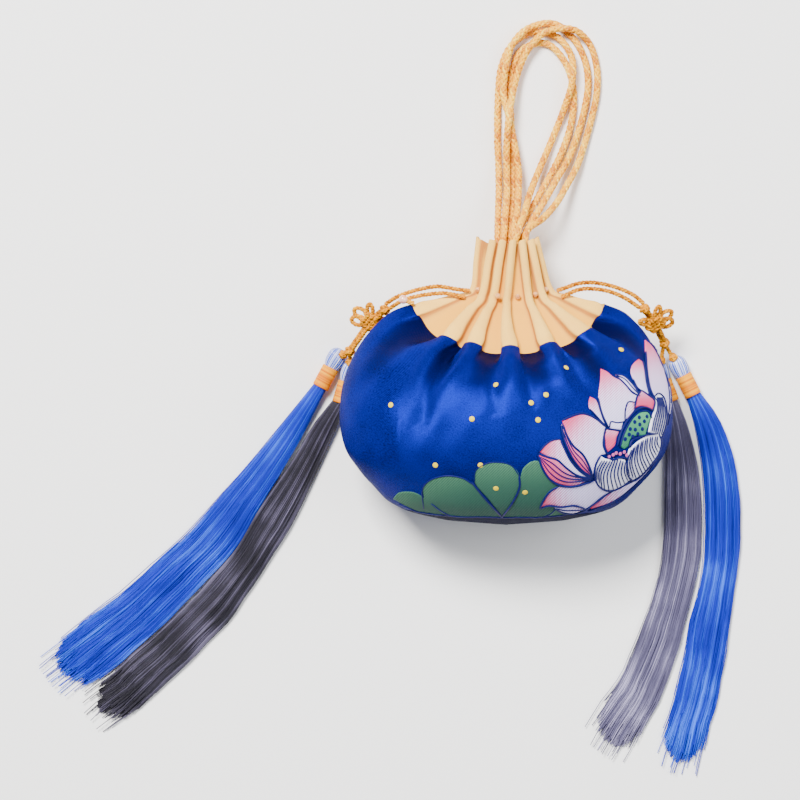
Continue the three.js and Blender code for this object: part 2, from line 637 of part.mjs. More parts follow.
function lockSolid(skirt, spread, lock) {
  const spine = new THREE.CatmullRomCurve3(
    skirt.map((row) => new THREE.Vector3(row.x, row.y, row.width * SKIRT_WIDTH)),
    false,
    "centripetal",
  );
  const rings = [];
  for (let s = 0; s < LOCK_SECTIONS; s++) {
    const t = (lock.long * s) / (LOCK_SECTIONS - 1);
    const spot = spine.getPoint(t);
    const along = spine.getTangent(Math.min(t, 0.999)).setZ(0).normalize();
    const aside = new THREE.Vector3(-along.y, along.x, 0);
    const end = s === LOCK_SECTIONS - 1;
    const width = spot.z - 4 * CLEARANCE;
    const strip = (width * LOCK_FILL) / LOCKS.length;
    const wide = 0.5 * strip * (end ? TIP : 1);
    const { bottom, height } = spread(t);
    const tall = 0.5 * height * (end ? TIP : 1);
    const centre = new THREE.Vector3(spot.x, spot.y, 0).addScaledVector(aside, lock.aside * width);
    const ring = [];
    for (let k = 0; k < LOCK_SIDES; k++) {
      const angle = (2 * Math.PI * (k + 0.5)) / LOCK_SIDES;
      const up = new THREE.Vector3(0, 0, bottom + tall * (1 + Math.sin(angle)));
      ring.push(centre.clone().addScaledVector(aside, wide * Math.cos(angle)).add(up));
    }
    rings.push(ring);
  }
  const middle = (ring) =>
    ring.reduce((sum, p) => sum.add(p), new THREE.Vector3()).divideScalar(ring.length);
  return toSolid(loopedRings([[middle(rings[0])], ...rings, [middle(rings.at(-1))]], false));
}

function addTassel(name, tassel, material) {
  const head = new THREE.Vector3(...tassel.head, 0.5 * TASSEL_HEAD_DIAMETER + 0.05);
  const start = tassel.skirt[0];
  const direction = new THREE.Vector3(start.x, start.y, head.z).sub(head).normalize();
  const half = TASSEL_HEAD_LENGTH / 2;
  const round = TASSEL_HEAD_DIAMETER / 2;
  const core = 0.5 * BINDING_DIAMETER - BINDING_WALL - 1.5 * CLEARANCE;
  const sleeve = half + CLEARANCE;
  const end = sleeve + BINDING_LENGTH + 2;
  const profile = [[-half, 0], [-0.8 * half, 0.6 * round], [-0.3 * half, round], [0.4 * half, round]];
  profile.push([0.95 * half, core], [end, core], [end, 0]);
  const spread = (t) => ({
    bottom: mix(head.z - 0.8 * core, 0.05, Math.min(1, 8 * t)),
    height: mix(1.6 * core, SKIRT_HEIGHT, Math.min(1, 8 * t)) * mix(1, 0.55, t),
  });
  const solids = [turnedSolid(head, direction, profile, 10)];
  const root = head.clone().addScaledVector(direction, end - 1.6);
  const skirt = [{ x: root.x, y: root.y, width: (1.7 * core) / SKIRT_WIDTH }, ...tassel.skirt.slice(1)];
  LOCKS.forEach((lock) => solids.push(lockSolid(skirt, spread, lock)));
  addPiece(`${name}_tassel`, toGeometry(joined(solids)), material);
  const inside = core + 1.5 * CLEARANCE;
  const ring = [[sleeve, inside], [sleeve, inside + BINDING_WALL]];
  ring.push([sleeve + BINDING_LENGTH, ring[1][1]], [sleeve + BINDING_LENGTH, ring[0][1]], ring[0]);
  const binding = turnedSolid(head, direction, ring, 12);
  addPiece(`${name}_binding`, toGeometry(binding), MATERIALS.goldThread);
}

Object.entries(SIDES).forEach(([name, side]) => {
  side.strands.forEach((rows, k) => {
    addCord(`${name}_strand_${k + 1}`, points(rows), LOOP_CORD_DIAMETER, MATERIALS.knotCord);
  });
  addPiece(`${name}_knot`, toGeometry(knotSolid(side)), MATERIALS.knotCord);
  Object.entries(side.tassels).forEach(([colour, tassel]) => {
    const material = colour === "blue" ? MATERIALS.blueThread : MATERIALS.greyThread;
    addTassel(`${name}_${colour}`, tassel, material);
  });
});

purse.name = "purse";
export default purse;
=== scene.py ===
"""An embroidered drawstring purse, lying on its back with its handles and tassels laid out flat.

Metres, +Z up. The belly faces up, +Y runs from the base to the mouth and the handles, and +X is
to the viewer's right. The cloth follows the same rings and pleats as the solids of the frame.
"""

from __future__ import annotations

import logging
import math
from dataclasses import dataclass, field
from enum import Enum
from typing import Sequence

import bpy
import numpy as np
from bpy.types import Material, Mesh, Node, NodeOutputs, NodeSocket, NodeTree, Object
from mathutils import Matrix, Vector
from mathutils.bvhtree import BVHTree
from mathutils.geometry import delaunay_2d_cdt


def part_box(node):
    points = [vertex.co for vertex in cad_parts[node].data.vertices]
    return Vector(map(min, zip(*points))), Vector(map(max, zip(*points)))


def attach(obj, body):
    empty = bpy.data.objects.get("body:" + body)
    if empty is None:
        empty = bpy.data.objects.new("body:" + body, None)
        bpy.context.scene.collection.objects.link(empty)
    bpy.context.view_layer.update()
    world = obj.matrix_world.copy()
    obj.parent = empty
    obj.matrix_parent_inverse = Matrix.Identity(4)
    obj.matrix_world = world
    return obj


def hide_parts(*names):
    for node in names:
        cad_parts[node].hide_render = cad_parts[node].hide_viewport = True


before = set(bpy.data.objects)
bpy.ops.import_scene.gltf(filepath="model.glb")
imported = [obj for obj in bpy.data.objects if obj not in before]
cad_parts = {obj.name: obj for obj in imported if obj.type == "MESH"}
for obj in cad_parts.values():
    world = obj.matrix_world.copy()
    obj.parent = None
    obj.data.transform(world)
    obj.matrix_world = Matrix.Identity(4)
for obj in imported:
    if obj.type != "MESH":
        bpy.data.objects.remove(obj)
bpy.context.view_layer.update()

log = logging.getLogger("purse")

MM = 0.001
TURN = 2 * math.pi
ROOT = "root"
TINY = 1e-12

Point = tuple[float, float, float]
Spot = tuple[float, float]
Edge = tuple[Spot, ...]
Colour = tuple[float, float, float, float]

# Where the camera stands, which is also where the lotus was drawn from.
EYE: Point = (-53 * MM, -10 * MM, 1542 * MM)


def srgb(red: int, green: int, blue: int) -> Colour:
    """A colour for a shader from three display values of 0 to 255.

    Args:
        red: The display value of red.
        green: The display value of green.
        blue: The display value of blue.

    Returns:
        The colour in linear light, with full alpha.
    """

    def linear(value: int) -> float:
        """One channel in linear light."""
        share = value / 255
        return share / 12.92 if share <= 0.04045 else ((share + 0.055) / 1.055) ** 2.4

    return linear(red), linear(green), linear(blue), 1.0


def metres(values: Sequence) -> np.ndarray:
    """Numbers or rows of numbers in millimetres, as an array in metres."""
    return np.array(values, float) * MM


def unit(rows: np.ndarray) -> np.ndarray:
    """The same directions, with a length of one."""
    return rows / np.maximum(np.linalg.norm(rows, axis=-1, keepdims=True), TINY)


def eased(share: float | np.ndarray) -> float | np.ndarray:
    """A share of 0 to 1 that starts and ends slowly."""
    return share * share * (3 - 2 * share)


def circle(radius: float, sides: int, height: float = 0.0) -> np.ndarray:
    """Even points round the Z axis, one row each."""
    angles = np.arange(sides) * TURN / sides
    return np.stack([radius * np.cos(angles), radius * np.sin(angles), np.full(sides, height)], axis=1)


def spline_weights(count: int, where: np.ndarray, closed: bool) -> np.ndarray:
    """Weights that blend rows of a table smoothly, by a Catmull-Rom spline through the rows.

    Args:
        count: The number of rows in the table.
        where: Row numbers, with fractions, at which to read the table.
        closed: Whether the last row is followed by the first one.

    Returns:
        One row of weights for each place in where.
    """
    weights = np.zeros((len(where), count))
    start = np.floor(where).astype(int)
    if not closed:
        start = np.clip(start, 0, count - 2)
    t = where - start
    shares = (
        -0.5 * t + t**2 - 0.5 * t**3,
        1 - 2.5 * t**2 + 1.5 * t**3,
        0.5 * t + 2 * t**2 - 1.5 * t**3,
        -0.5 * t**2 + 0.5 * t**3,
    )
    for step, share in zip((-1, 0, 1, 2), shares):
        row = (start + step) % count if closed else np.clip(start + step, 0, count - 1)
        np.add.at(weights, (np.arange(len(where)), row), share)
    return weights


def smooth_path(points: Sequence[Point] | np.ndarray, step: float) -> np.ndarray:
    """Even points along the centripetal Catmull-Rom curve through some points.

    Args:
        points: The points that the curve passes through.
        step: About how far apart the new points are.

    Returns:
        The new points, one row each.
    """
    given = np.asarray(points, float)
    padded = np.vstack([2 * given[0] - given[1], given, 2 * given[-1] - given[-2]])
    gaps = np.maximum(np.sqrt(np.linalg.norm(np.diff(padded, axis=0), axis=1)), 1e-4)
    samples = np.linspace(0, 1, 16, endpoint=False)[:, None]
    found = []
    for k in range(1, len(padded) - 2):
        p0, p1, p2, p3 = padded[k - 1 : k + 3]
        d0, d1, d2 = gaps[k - 1 : k + 2]
        m1 = ((p1 - p0) / d0 - (p2 - p0) / (d0 + d1) + (p2 - p1) / d1) * d1
        m2 = ((p2 - p1) / d1 - (p3 - p1) / (d1 + d2) + (p3 - p2) / d2) * d1
        cube = 2 * p1 - 2 * p2 + m1 + m2
        square = -3 * p1 + 3 * p2 - 2 * m1 - m2
        found.append(cube * samples**3 + square * samples**2 + m1 * samples + p1)
    found.append(given[-1:])
    line = np.vstack(found)
    lengths = np.concatenate([[0], np.cumsum(np.linalg.norm(np.diff(line, axis=0), axis=1))])
    even = np.linspace(0, lengths[-1], max(3, round(lengths[-1] / step) + 1))
    return np.stack([np.interp(even, lengths, column) for column in line.T], axis=1)


def path_length(path: np.ndarray) -> float:
    """The length of a line of points."""
    return float(np.linalg.norm(np.diff(path, axis=0), axis=1).sum())


def turned_to(direction: Vector, origin: Vector) -> Matrix:
    """A matrix that puts the local Z axis along a direction and the local origin at a point."""
    return Matrix.Translation(origin) @ direction.to_track_quat("Z", "Y").to_matrix().to_4x4()


class MeshParts:
    """Collects points, faces and loose edges, and makes one mesh of them."""

    def __init__(self) -> None:
        """Starts with nothing."""
        self.points: list[np.ndarray] = []
        self.faces: list[tuple[int, ...]] = []
        self.edges: list[tuple[int, int]] = []
        self.values: dict[str, list[np.ndarray]] = {}
        self.count = 0

    def add(self, points: np.ndarray, **values: float | np.ndarray) -> int:
        """Adds points with their values.

        Args:
            points: The points, one row each.
            values: Numbers to keep on the points, by the attribute's name.

        Returns:
            The number of the first new point.
        """
        first = self.count
        self.points.append(points)
        self.count += len(points)
        for name, numbers in values.items():
            self.values.setdefault(name, []).append(np.broadcast_to(numbers, len(points)))
        return first

    def line(self, points: np.ndarray, **values: float | np.ndarray) -> None:
        """Adds a line of points that follow each other, with their values."""
        first = self.add(points, **values)
        self.edges += [(first + k, first + k + 1) for k in range(len(points) - 1)]

    def grid(self, first: int, rows: int, columns: int, closed_rows: bool = False) -> None:
        """Joins rows of points, each of them a closed ring, with faces.

        Args:
            first: The number of the first point of the first row.
            rows: The number of rows.
            columns: The number of points in a row.
            closed_rows: Whether the last row is joined to the first one.
        """
        for r in range(rows if closed_rows else rows - 1):
            here, there = first + r * columns, first + (r + 1) % rows * columns
            for c in range(columns):
                d = (c + 1) % columns
                self.faces.append((here + c, here + d, there + d, there + c))

    def body(self, rings: Sequence[np.ndarray], **values: float) -> None:
        """Adds a closed body of rings that follow each other, with a flat face at both ends."""
        columns = len(rings[0])
        first = self.add(np.concatenate(rings), **values)
        self.grid(first, len(rings), columns)
        last = self.count - columns
        self.faces.append(tuple(range(first, first + columns))[::-1])
        self.faces.append(tuple(range(last, last + columns)))

    def mesh(self, name: str) -> Mesh:
        """The mesh of all that was added, with its faces smooth."""
        mesh = bpy.data.meshes.new(name)
        mesh.from_pydata(np.vstack(self.points).tolist(), self.edges, self.faces)
        for key, numbers in self.values.items():
            layer = mesh.attributes.new(key, "FLOAT", "POINT")
            layer.data.foreach_set("value", np.concatenate(numbers).astype(np.float32))
        mesh.polygons.foreach_set("use_smooth", [True] * len(mesh.polygons))
        mesh.update()
        return mesh


def points_of(mesh: Mesh) -> np.ndarray:
    """The points of a mesh, one row each."""
    points = np.empty(len(mesh.vertices) * 3)
    mesh.vertices.foreach_get("co", points)
    return points.reshape(-1, 3)


def faced_out(mesh: Mesh) -> Mesh:
    """The same mesh, turned inside out if its faces point inwards."""
    mesh.calc_loop_triangles()
    corners = np.empty(len(mesh.loop_triangles) * 3, int)
    mesh.loop_triangles.foreach_get("vertices", corners)
    a, b, c = points_of(mesh)[corners.reshape(-1, 3)].transpose(1, 0, 2)
    if (np.cross(a, b) * c).sum() < 0:
        mesh.flip_normals()
    return mesh


def cloth_uv(mesh: Mesh, places: np.ndarray) -> None:
    """Gives a mesh the UV map of its weave, from a place on the cloth in metres for each point."""
    layer = mesh.uv_layers.new(name="cloth")
    corners = np.empty(len(mesh.loops), int)
    mesh.loops.foreach_get("vertex_index", corners)
    layer.data.foreach_set("uv", places[corners].ravel().astype(np.float32))


def shown(name: str, mesh: Mesh, *materials: Material) -> Object:
    """A new object of the scene, at the origin, with its materials.

    Args:
        name: The name of the piece.
        mesh: Its mesh, in the frame of the purse.
        materials: What it is made of. A mesh from a tree has its own already.

    Returns:
        The object.
    """
    mesh.name = name
    piece = bpy.data.objects.new(name, mesh)
    bpy.context.scene.collection.objects.link(piece)
    if materials:
        mesh.materials.clear()
        for material in materials:
            mesh.materials.append(material)
    log.info("%s: %d faces", name, len(mesh.polygons))
    return piece


def placed(piece: Object, slot: str, *nodes: str) -> Object:
    """Makes a piece ride on the purse, and hides the nodes of the frame that it stands for."""
    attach(piece, ROOT)
    if nodes:
        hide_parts(*nodes)
    return piece


class ShaderGraph:
    """Places and links the nodes of a material, a group or a tree of Geometry Nodes."""

    def __init__(self, tree: NodeTree) -> None:
        """Starts on an empty tree."""
        self.tree = tree
        tree.nodes.clear()

    def node(self, kind: str, inputs: dict | None = None, **settings: object) -> Node:
        """Adds a node.

        Args:
            kind: The node's type.
            inputs: Values or sockets for its inputs, by name or number.
            settings: Properties of the node.

        Returns:
            The node.
        """
        node = self.tree.nodes.new(kind)
        for key, value in settings.items():
            setattr(node, key, value)
        for key, value in (inputs or {}).items():
            self.feed(node.inputs[key], value)
        return node

    def feed(self, socket: NodeSocket, value: object) -> None:
        """Links a socket to another one, or sets its value."""
        if isinstance(value, NodeSocket):
            self.tree.links.new(value, socket)
        elif isinstance(value, Node):
            self.tree.links.new(value.outputs[0], socket)
        else:
            socket.default_value = value

    def math(self, operation: str, *values: object) -> NodeSocket:
        """The result of an operation on one to three numbers."""
        return self.node("ShaderNodeMath", dict(enumerate(values)), operation=operation).outputs[0]

    def times(self, *values: object) -> NodeSocket:
        """The product of two numbers."""
        return self.math("MULTIPLY", *values)

    def vector(self, operation: str, *values: object) -> NodeSocket:
        """The vector that an operation on vectors gives. A last number is the scale of SCALE."""
        keys = (0, "Scale") if operation == "SCALE" else (0, 1)
        return self.node("ShaderNodeVectorMath", dict(zip(keys, values)), operation=operation).outputs[0]

    def noise(self, place: object, scale: object, detail: float) -> Node:
        """Smooth noise."""
        return self.node("ShaderNodeTexNoise", {"Vector": place, "Scale": scale, "Detail": detail})

    def blend(self, share: object, first: object, second: object) -> NodeSocket:
        """The mix of two colours."""
        return self.node("ShaderNodeMix", {0: share, 6: first, 7: second}, data_type="RGBA").outputs[2]

    def between(self, value: object, low: object, high: object, kind: str = "SMOOTHSTEP") -> object:
        """A number taken from low..high to 0..1, smoothly and without leaving that range."""
        inputs = {"Value": value, "From Min": low, "From Max": high}
        return self.node("ShaderNodeMapRange", inputs, interpolation_type=kind).outputs["Result"]


FLOAT = "NodeSocketFloat"
VECTOR = "NodeSocketVector"


class EffectGroup(ShaderGraph):
    """A shader node group that more than one material uses."""

    def __init__(self, name: str, inputs: dict[str, float], *outputs: str) -> None:
        """Makes the group with its sockets.

        Args:
            name: The name of the group.
            inputs: The value of each input but the first, which is the place.
            outputs: The names of its outputs.
        """
        super().__init__(bpy.data.node_groups.new(name, "ShaderNodeTree"))
        face = self.tree.interface
        face.new_socket("Place", in_out="INPUT", socket_type=VECTOR)
        for key, value in inputs.items():
            face.new_socket(key, in_out="INPUT", socket_type=FLOAT).default_value = value
        for key in outputs:
            face.new_socket(key, in_out="OUTPUT", socket_type=FLOAT)
        self.given = self.node("NodeGroupInput").outputs
        self.result = self.node("NodeGroupOutput").inputs


def twill_group() -> NodeTree:
    """The group of a twill weave: diagonal ribs of short floats, from places on the cloth."""
    group = EffectGroup("twill_weave", {"Pitch": 0.0007, "Rough": 0.5}, "Height", "Float")
    pitch = group.node("ShaderNodeCombineXYZ", {k: group.given["Pitch"] for k in range(3)})
    place = group.vector("DIVIDE", group.given["Place"], pitch)
    parts = group.node("ShaderNodeSeparateXYZ", {0: place}).outputs
    diagonal = group.math("FRACT", group.math("ADD", parts[0], parts[1]))
    rib = group.math("SINE", group.times(diagonal, math.pi))
    floats = group.math("FRACT", group.times(parts[0], 0.5))
    grain = group.math("SINE", group.times(floats, math.pi))
    noise = group.noise(place, 0.9, 2.0)
    broken = group.times(noise.outputs[0], group.given["Rough"])
    body = group.math("MULTIPLY_ADD", grain, 0.15, group.times(rib, 0.85))
    group.feed(group.result["Height"], group.math("ADD", body, broken))
    group.feed(group.result["Float"], group.times(rib, noise.outputs[0]))
    return group.tree


def mottle_group() -> NodeTree:
    """The group of slow changes of tone over a surface, as a number about 0 to 1."""
    group = EffectGroup("slow_mottle", {"Scale": 40.0, "Low": 0.35, "High": 0.65}, "Value")
    noise = group.noise(group.given["Place"], group.given["Scale"], 3.0)
    ranged = group.between(noise.outputs[0], group.given["Low"], group.given["High"], "LINEAR")
    group.feed(group.result["Value"], ranged)
    return group.tree


def fibre_group() -> NodeTree:
    """The group of fine filaments that run along one thread: a height and a tone for each."""
    group = EffectGroup("silk_filaments", {"Shade": 0.5, "Fineness": 3000.0}, "Height", "Tone")
    noise = group.noise(group.given["Place"], group.given["Fineness"], 1.0)
    slow = group.noise(group.given["Place"], 35.0, 2.0)
    tone = group.math("MULTIPLY_ADD", slow.outputs[0], 0.8, -0.4)
    tone = group.math("ADD", group.math("MULTIPLY_ADD", noise.outputs[0], 0.3, -0.15), tone)
    group.feed(group.result["Height"], noise.outputs[0])
    group.feed(group.result["Tone"], group.math("ADD", group.given["Shade"], tone))
    return group.tree


@dataclass(frozen=True)
class Gloss:
    """How a surface shines: constants of the shader."""

    roughness: float = 0.5
    specular: float = 0.5
    sheen: float = 0.0
    sheen_roughness: float = 0.4
    coat: float = 0.0
    metallic: float = 0.0
    edge_tint: Colour = (1.0, 1.0, 1.0, 1.0)


class Surface(ShaderGraph):
    """A material with a Principled shader, whose colour and relief are still to be linked."""

    def __init__(self, name: str, gloss: Gloss) -> None:
        """Makes the material.

        Args:
            name: The name of the material.
            gloss: How it shines.
        """
        self.material = bpy.data.materials.new(name)
        self.material.use_nodes = True
        super().__init__(self.material.node_tree)
        constants = {
            "Roughness": gloss.roughness,
            "Specular IOR Level": gloss.specular,
            "Sheen Weight": gloss.sheen,
            "Sheen Roughness": gloss.sheen_roughness,
            "Coat Weight": gloss.coat,
            "Metallic": gloss.metallic,
            "Specular Tint": gloss.edge_tint,
        }
        self.shader = self.node("ShaderNodeBsdfPrincipled", constants)
        self.node("ShaderNodeOutputMaterial", {"Surface": self.shader})

    def effect(self, group: NodeTree, place: object, **values: object) -> NodeOutputs:
        """Places a shared group with this material's own values, and gives its outputs."""
        return self.node("ShaderNodeGroup", {"Place": place, **values}, node_tree=group).outputs

    def attribute(self, name: str) -> NodeSocket:
        """The number that the mesh keeps under a name."""
        return self.node("ShaderNodeAttribute", attribute_name=name).outputs["Fac"]

    def object_place(self) -> NodeSocket:
        """The place on the object, in metres."""
        return self.node("ShaderNodeTexCoord").outputs["Object"]

    def cloth_place(self) -> NodeSocket:
        """The place on the cloth, in metres of cloth."""
        return self.node("ShaderNodeUVMap", uv_map="cloth").outputs[0]

    def finished(self, colour: object, height: object = None, depth: float = 0.0) -> Material:
        """Links the colour and a height, whose whole range is depth metres, and gives the material."""
        self.feed(self.shader.inputs["Base Color"], colour)
        if height is not None:
            bump = self.node("ShaderNodeBump", {"Height": height, "Distance": depth, "Strength": 1.0})
            self.feed(self.shader.inputs["Normal"], bump)
        return self.material


@dataclass(frozen=True)
class SharedEffects:
    """The node groups that the finishes share."""

    twill: NodeTree = field(default_factory=twill_group)
    mottle: NodeTree = field(default_factory=mottle_group)
    fibre: NodeTree = field(default_factory=fibre_group)


@dataclass(frozen=True)
class ClothFinish:
    """A woven cloth: a dark and a light tone, its twill, and the colours of painted shade on a fold's
    flank and in its valley.
    """

    name: str
    dark: Colour
    light: Colour
    # Painted shade: the colours painted on a fold's flank and deep in its valley.
    flank_shade: Colour
    valley: Colour
    gloss: Gloss
    pitch: float
    depth: float
    broken: float = 0.5
    # Where the painted valley shade starts, and how strongly the painted flank shade shows.
    valley_shade_start: float = 0.35
    flank_shade_share: float = 0.7

    def material(self, effects: SharedEffects) -> Material:
        """The material of the cloth, with painted shade in its folds. Its mesh keeps how deep in a fold
        each point lies, as valley, which sets how much of the painted shade a point gets.
        """
        cloth = Surface(self.name, self.gloss)
        twill = cloth.effect(effects.twill, cloth.cloth_place(), Pitch=self.pitch, Rough=self.broken)
        mottle = cloth.effect(effects.mottle, cloth.object_place(), Scale=60.0, Low=0.3, High=0.7)
        tone = cloth.math("MULTIPLY_ADD", mottle["Value"], 0.15, twill["Float"])
        colour = cloth.blend(cloth.between(tone, 0.1, 0.62), self.dark, self.light)
        # Painted shade: the valley colour, blended in deep in the folds.
        depth = cloth.attribute("valley")
        colour = cloth.blend(cloth.between(depth, self.valley_shade_start, 1.0), colour, self.valley)
        # Painted shade: a band of the flank colour along the flanks of the folds.
        rising, falling = cloth.between(depth, 0.3, 0.6), cloth.between(depth, 0.97, 0.75)
        flank_shade = cloth.times(cloth.times(rising, falling), self.flank_shade_share)
        return cloth.finished(cloth.blend(flank_shade, colour, self.flank_shade), twill["Height"], self.depth)


@dataclass(frozen=True)
class WovenMotifFinish:
    """Brocade threads of a motif: a tip colour that fades to a root colour, in fine rows."""

    name: str
    tip: Colour
    root: Colour
    under: Colour
    gloss: Gloss
    pitch: float
    under_share: float = 0.55
    depth: float = 0.12 * MM

    def material(self, effects: SharedEffects) -> Material:
        """The material. Its mesh keeps the way from tip to root as fade."""
        woven = Surface(self.name, self.gloss)
        twill = woven.effect(effects.twill, woven.cloth_place(), Pitch=self.pitch, Rough=0.3)
        row = woven.between(twill["Height"], 0.55, 1.0)
        fade = woven.math("ADD", woven.attribute("fade"), woven.math("MULTIPLY_ADD", row, 0.5, -0.25))
        colour = woven.blend(woven.between(fade, 0.2, 0.8), self.tip, self.root)
        shown_under = woven.times(woven.math("SUBTRACT", 1.0, row), self.under_share)
        return woven.finished(woven.blend(shown_under, colour, self.under), twill["Height"], self.depth)


@dataclass(frozen=True)
class ThreadFinish:
    """A silky thread: three tones, taken by each thread's own shade."""

    name: str
    dark: Colour
    middle: Colour
    light: Colour
    gloss: Gloss
    depth: float = 0.03 * MM

    def material(self, effects: SharedEffects) -> Material:
        """The material. Its mesh keeps each thread's own tone as shade."""
        silk = Surface(self.name, self.gloss)
        fibre = silk.effect(effects.fibre, silk.object_place(), Shade=silk.attribute("shade"))
        lower = silk.blend(silk.between(fibre["Tone"], 0.0, 0.5), self.dark, self.middle)
        colour = silk.blend(silk.between(fibre["Tone"], 0.5, 1.0), lower, self.light)
        return silk.finished(colour, fibre["Height"], self.depth)


@dataclass(frozen=True)
class BeadFinish:
    """A polished bead with a faint change of tone."""

    name: str
    dark: Colour
    light: Colour
    gloss: Gloss
    depth: float = 0.02 * MM

    def material(self, effects: SharedEffects) -> Material:
        """The material."""
        bead = Surface(self.name, self.gloss)
        mottle = bead.effect(effects.mottle, bead.object_place(), Scale=500.0, Low=0.3, High=0.7)
        colour = bead.blend(mottle["Value"], self.dark, self.light)
        return bead.finished(colour, mottle["Value"], self.depth)


class GrowthTree(ShaderGraph):
    """A tree of Geometry Nodes with named inputs, that ends in Realize Instances and Set Material."""

    def __init__(self, name: str) -> None:
        """Makes the tree with its first input and its output."""
        super().__init__(bpy.data.node_groups.new(name, "GeometryNodeTree"))
        face = self.tree.interface
        face.new_socket("Geometry", in_out="INPUT", socket_type="NodeSocketGeometry")
        face.new_socket("Material", in_out="INPUT", socket_type="NodeSocketMaterial")
        face.new_socket("Geometry", in_out="OUTPUT", socket_type="NodeSocketGeometry")
        self.given = self.node("NodeGroupInput").outputs

    def size(self, name: str, value: float) -> NodeSocket:
        """Adds a named number to the tree's inputs, and gives its socket."""
        kind = "NodeSocketInt" if isinstance(value, int) else FLOAT
        self.tree.interface.new_socket(name, in_out="INPUT", socket_type=kind).default_value = value
        return self.given[name]

    def lines(self) -> Node:
        """The given edges as curves."""
        return self.node("GeometryNodeMeshToCurve", {0: self.given["Geometry"]})

    def copies(self, lines: object, count: object) -> Node:
        """Copies of each curve."""
        inputs = {"Geometry": lines, "Amount": count}
        return self.node("GeometryNodeDuplicateElements", inputs, domain="SPLINE")

    def along(self, unit: str = "Factor") -> NodeSocket:
        """How far along its curve a point lies."""
        return self.node("GeometryNodeSplineParameter").outputs[unit]

    def place(self) -> NodeSocket:
        """Where a point is."""
        return self.node("GeometryNodeInputPosition").outputs[0]

    def random(self, number: object, seed: int) -> NodeSocket:
        """A random number of 0 to 1 for each whole number."""
        inputs = {"ID": number, "Seed": seed}
        return self.node("FunctionNodeRandomValue", inputs, data_type="FLOAT").outputs[1]

    def kept(self, geometry: object, name: str, value: object) -> Node:
        """Stores a number on the points under a name."""
        inputs = {"Geometry": geometry, "Name": name, "Value": value}
        return self.node("GeometryNodeStoreNamedAttribute", inputs, data_type="FLOAT", domain="POINT")

    def finish(self, geometry: object, smooth: bool = True) -> None:
        """Ends the tree on a geometry, with smooth or flat faces."""
        last = self.node("GeometryNodeRealizeInstances", {"Geometry": geometry})
        if smooth:
            last = self.node("GeometryNodeSetShadeSmooth", {0: last})
        inputs = {"Geometry": last, "Material": self.given["Material"]}
        self.node("NodeGroupOutput", {0: self.node("GeometryNodeSetMaterial", inputs)})

    def tubes(self, curves: object, radius: object, sides: object) -> None:
        """Ends the tree on round tubes along some curves, with closed ends."""
        section = self.node("GeometryNodeCurvePrimitiveCircle", {"Resolution": sides, "Radius": radius})
        inputs = {"Curve": curves, "Profile Curve": section, "Fill Caps": True}
        self.finish(self.node("GeometryNodeCurveToMesh", inputs))

    def grow(self, mesh: Mesh, material: Material, **values: float) -> Mesh:
        """Runs the tree on a mesh.

        Args:
            mesh: What the tree grows from.
            material: What the result is made of.
            values: Values of the named inputs, with _ for a space.

        Returns:
            The result as a plain mesh.
        """
        carrier = bpy.data.objects.new("carrier", mesh)
        bpy.context.scene.collection.objects.link(carrier)
        modifier = carrier.modifiers.new("grow", "NODES")
        modifier.node_group = self.tree
        wanted = {key.replace("_", " "): value for key, value in values.items()}
        wanted["Material"] = material
        for item in self.tree.interface.items_tree:
            if item.in_out == "INPUT" and item.name in wanted:
                modifier[item.identifier] = wanted[item.name]
        graph = bpy.context.evaluated_depsgraph_get()
        result = bpy.data.meshes.new_from_object(carrier.evaluated_get(graph), depsgraph=graph)
        bpy.data.objects.remove(carrier)
        bpy.data.meshes.remove(mesh)
        return result


class BraidTree(GrowthTree):
    """Round braid: strands that circle a line both ways and pass over and under each other."""

    def __init__(self) -> None:
        """Builds the tree."""
        super().__init__("round_braid")
        radius = self.size("Braid Radius", 1.4 * MM)
        strand = self.size("Strand Radius", 0.5 * MM)
        lift = self.size("Cross Lift", 0.25 * MM)
        lay = self.size("Lay Length", 11 * MM)
        ways = self.size("Strands Each Way", 4)
        sides = self.size("Strand Sides", 6)
        copies = self.copies(self.lines(), self.times(ways, 2.0))
        number = copies.outputs["Duplicate Index"]
        way = self.math("MULTIPLY_ADD", self.math("MODULO", number, 2.0), -2.0, 1.0)
        place = self.math("FLOOR", self.times(number, 0.5))
        turned = self.times(self.math("DIVIDE", self.along("Length"), lay), TURN)
        start = self.times(self.math("DIVIDE", place, ways), TURN)
        angle = self.math("MULTIPLY_ADD", way, turned, start)
        wave = self.math("COSINE", self.times(turned, ways))
        reach = self.math("MULTIPLY_ADD", self.times(wave, way), lift, radius)
        normal = self.node("GeometryNodeInputNormal").outputs[0]
        side = self.vector("CROSS_PRODUCT", self.node("GeometryNodeInputTangent"), normal)
        first = self.vector("SCALE", normal, self.times(reach, self.math("COSINE", angle)))
        second = self.vector("SCALE", side, self.times(reach, self.math("SINE", angle)))
        offset = self.vector("ADD", first, second)
        moved = self.node("GeometryNodeSetPosition", {0: copies, "Offset": offset})
        tone = self.math("FRACT", self.times(number, 0.618))
        self.tubes(self.kept(moved, "shade", self.math("MULTIPLY_ADD", tone, 0.6, 0.2)), strand, sides)


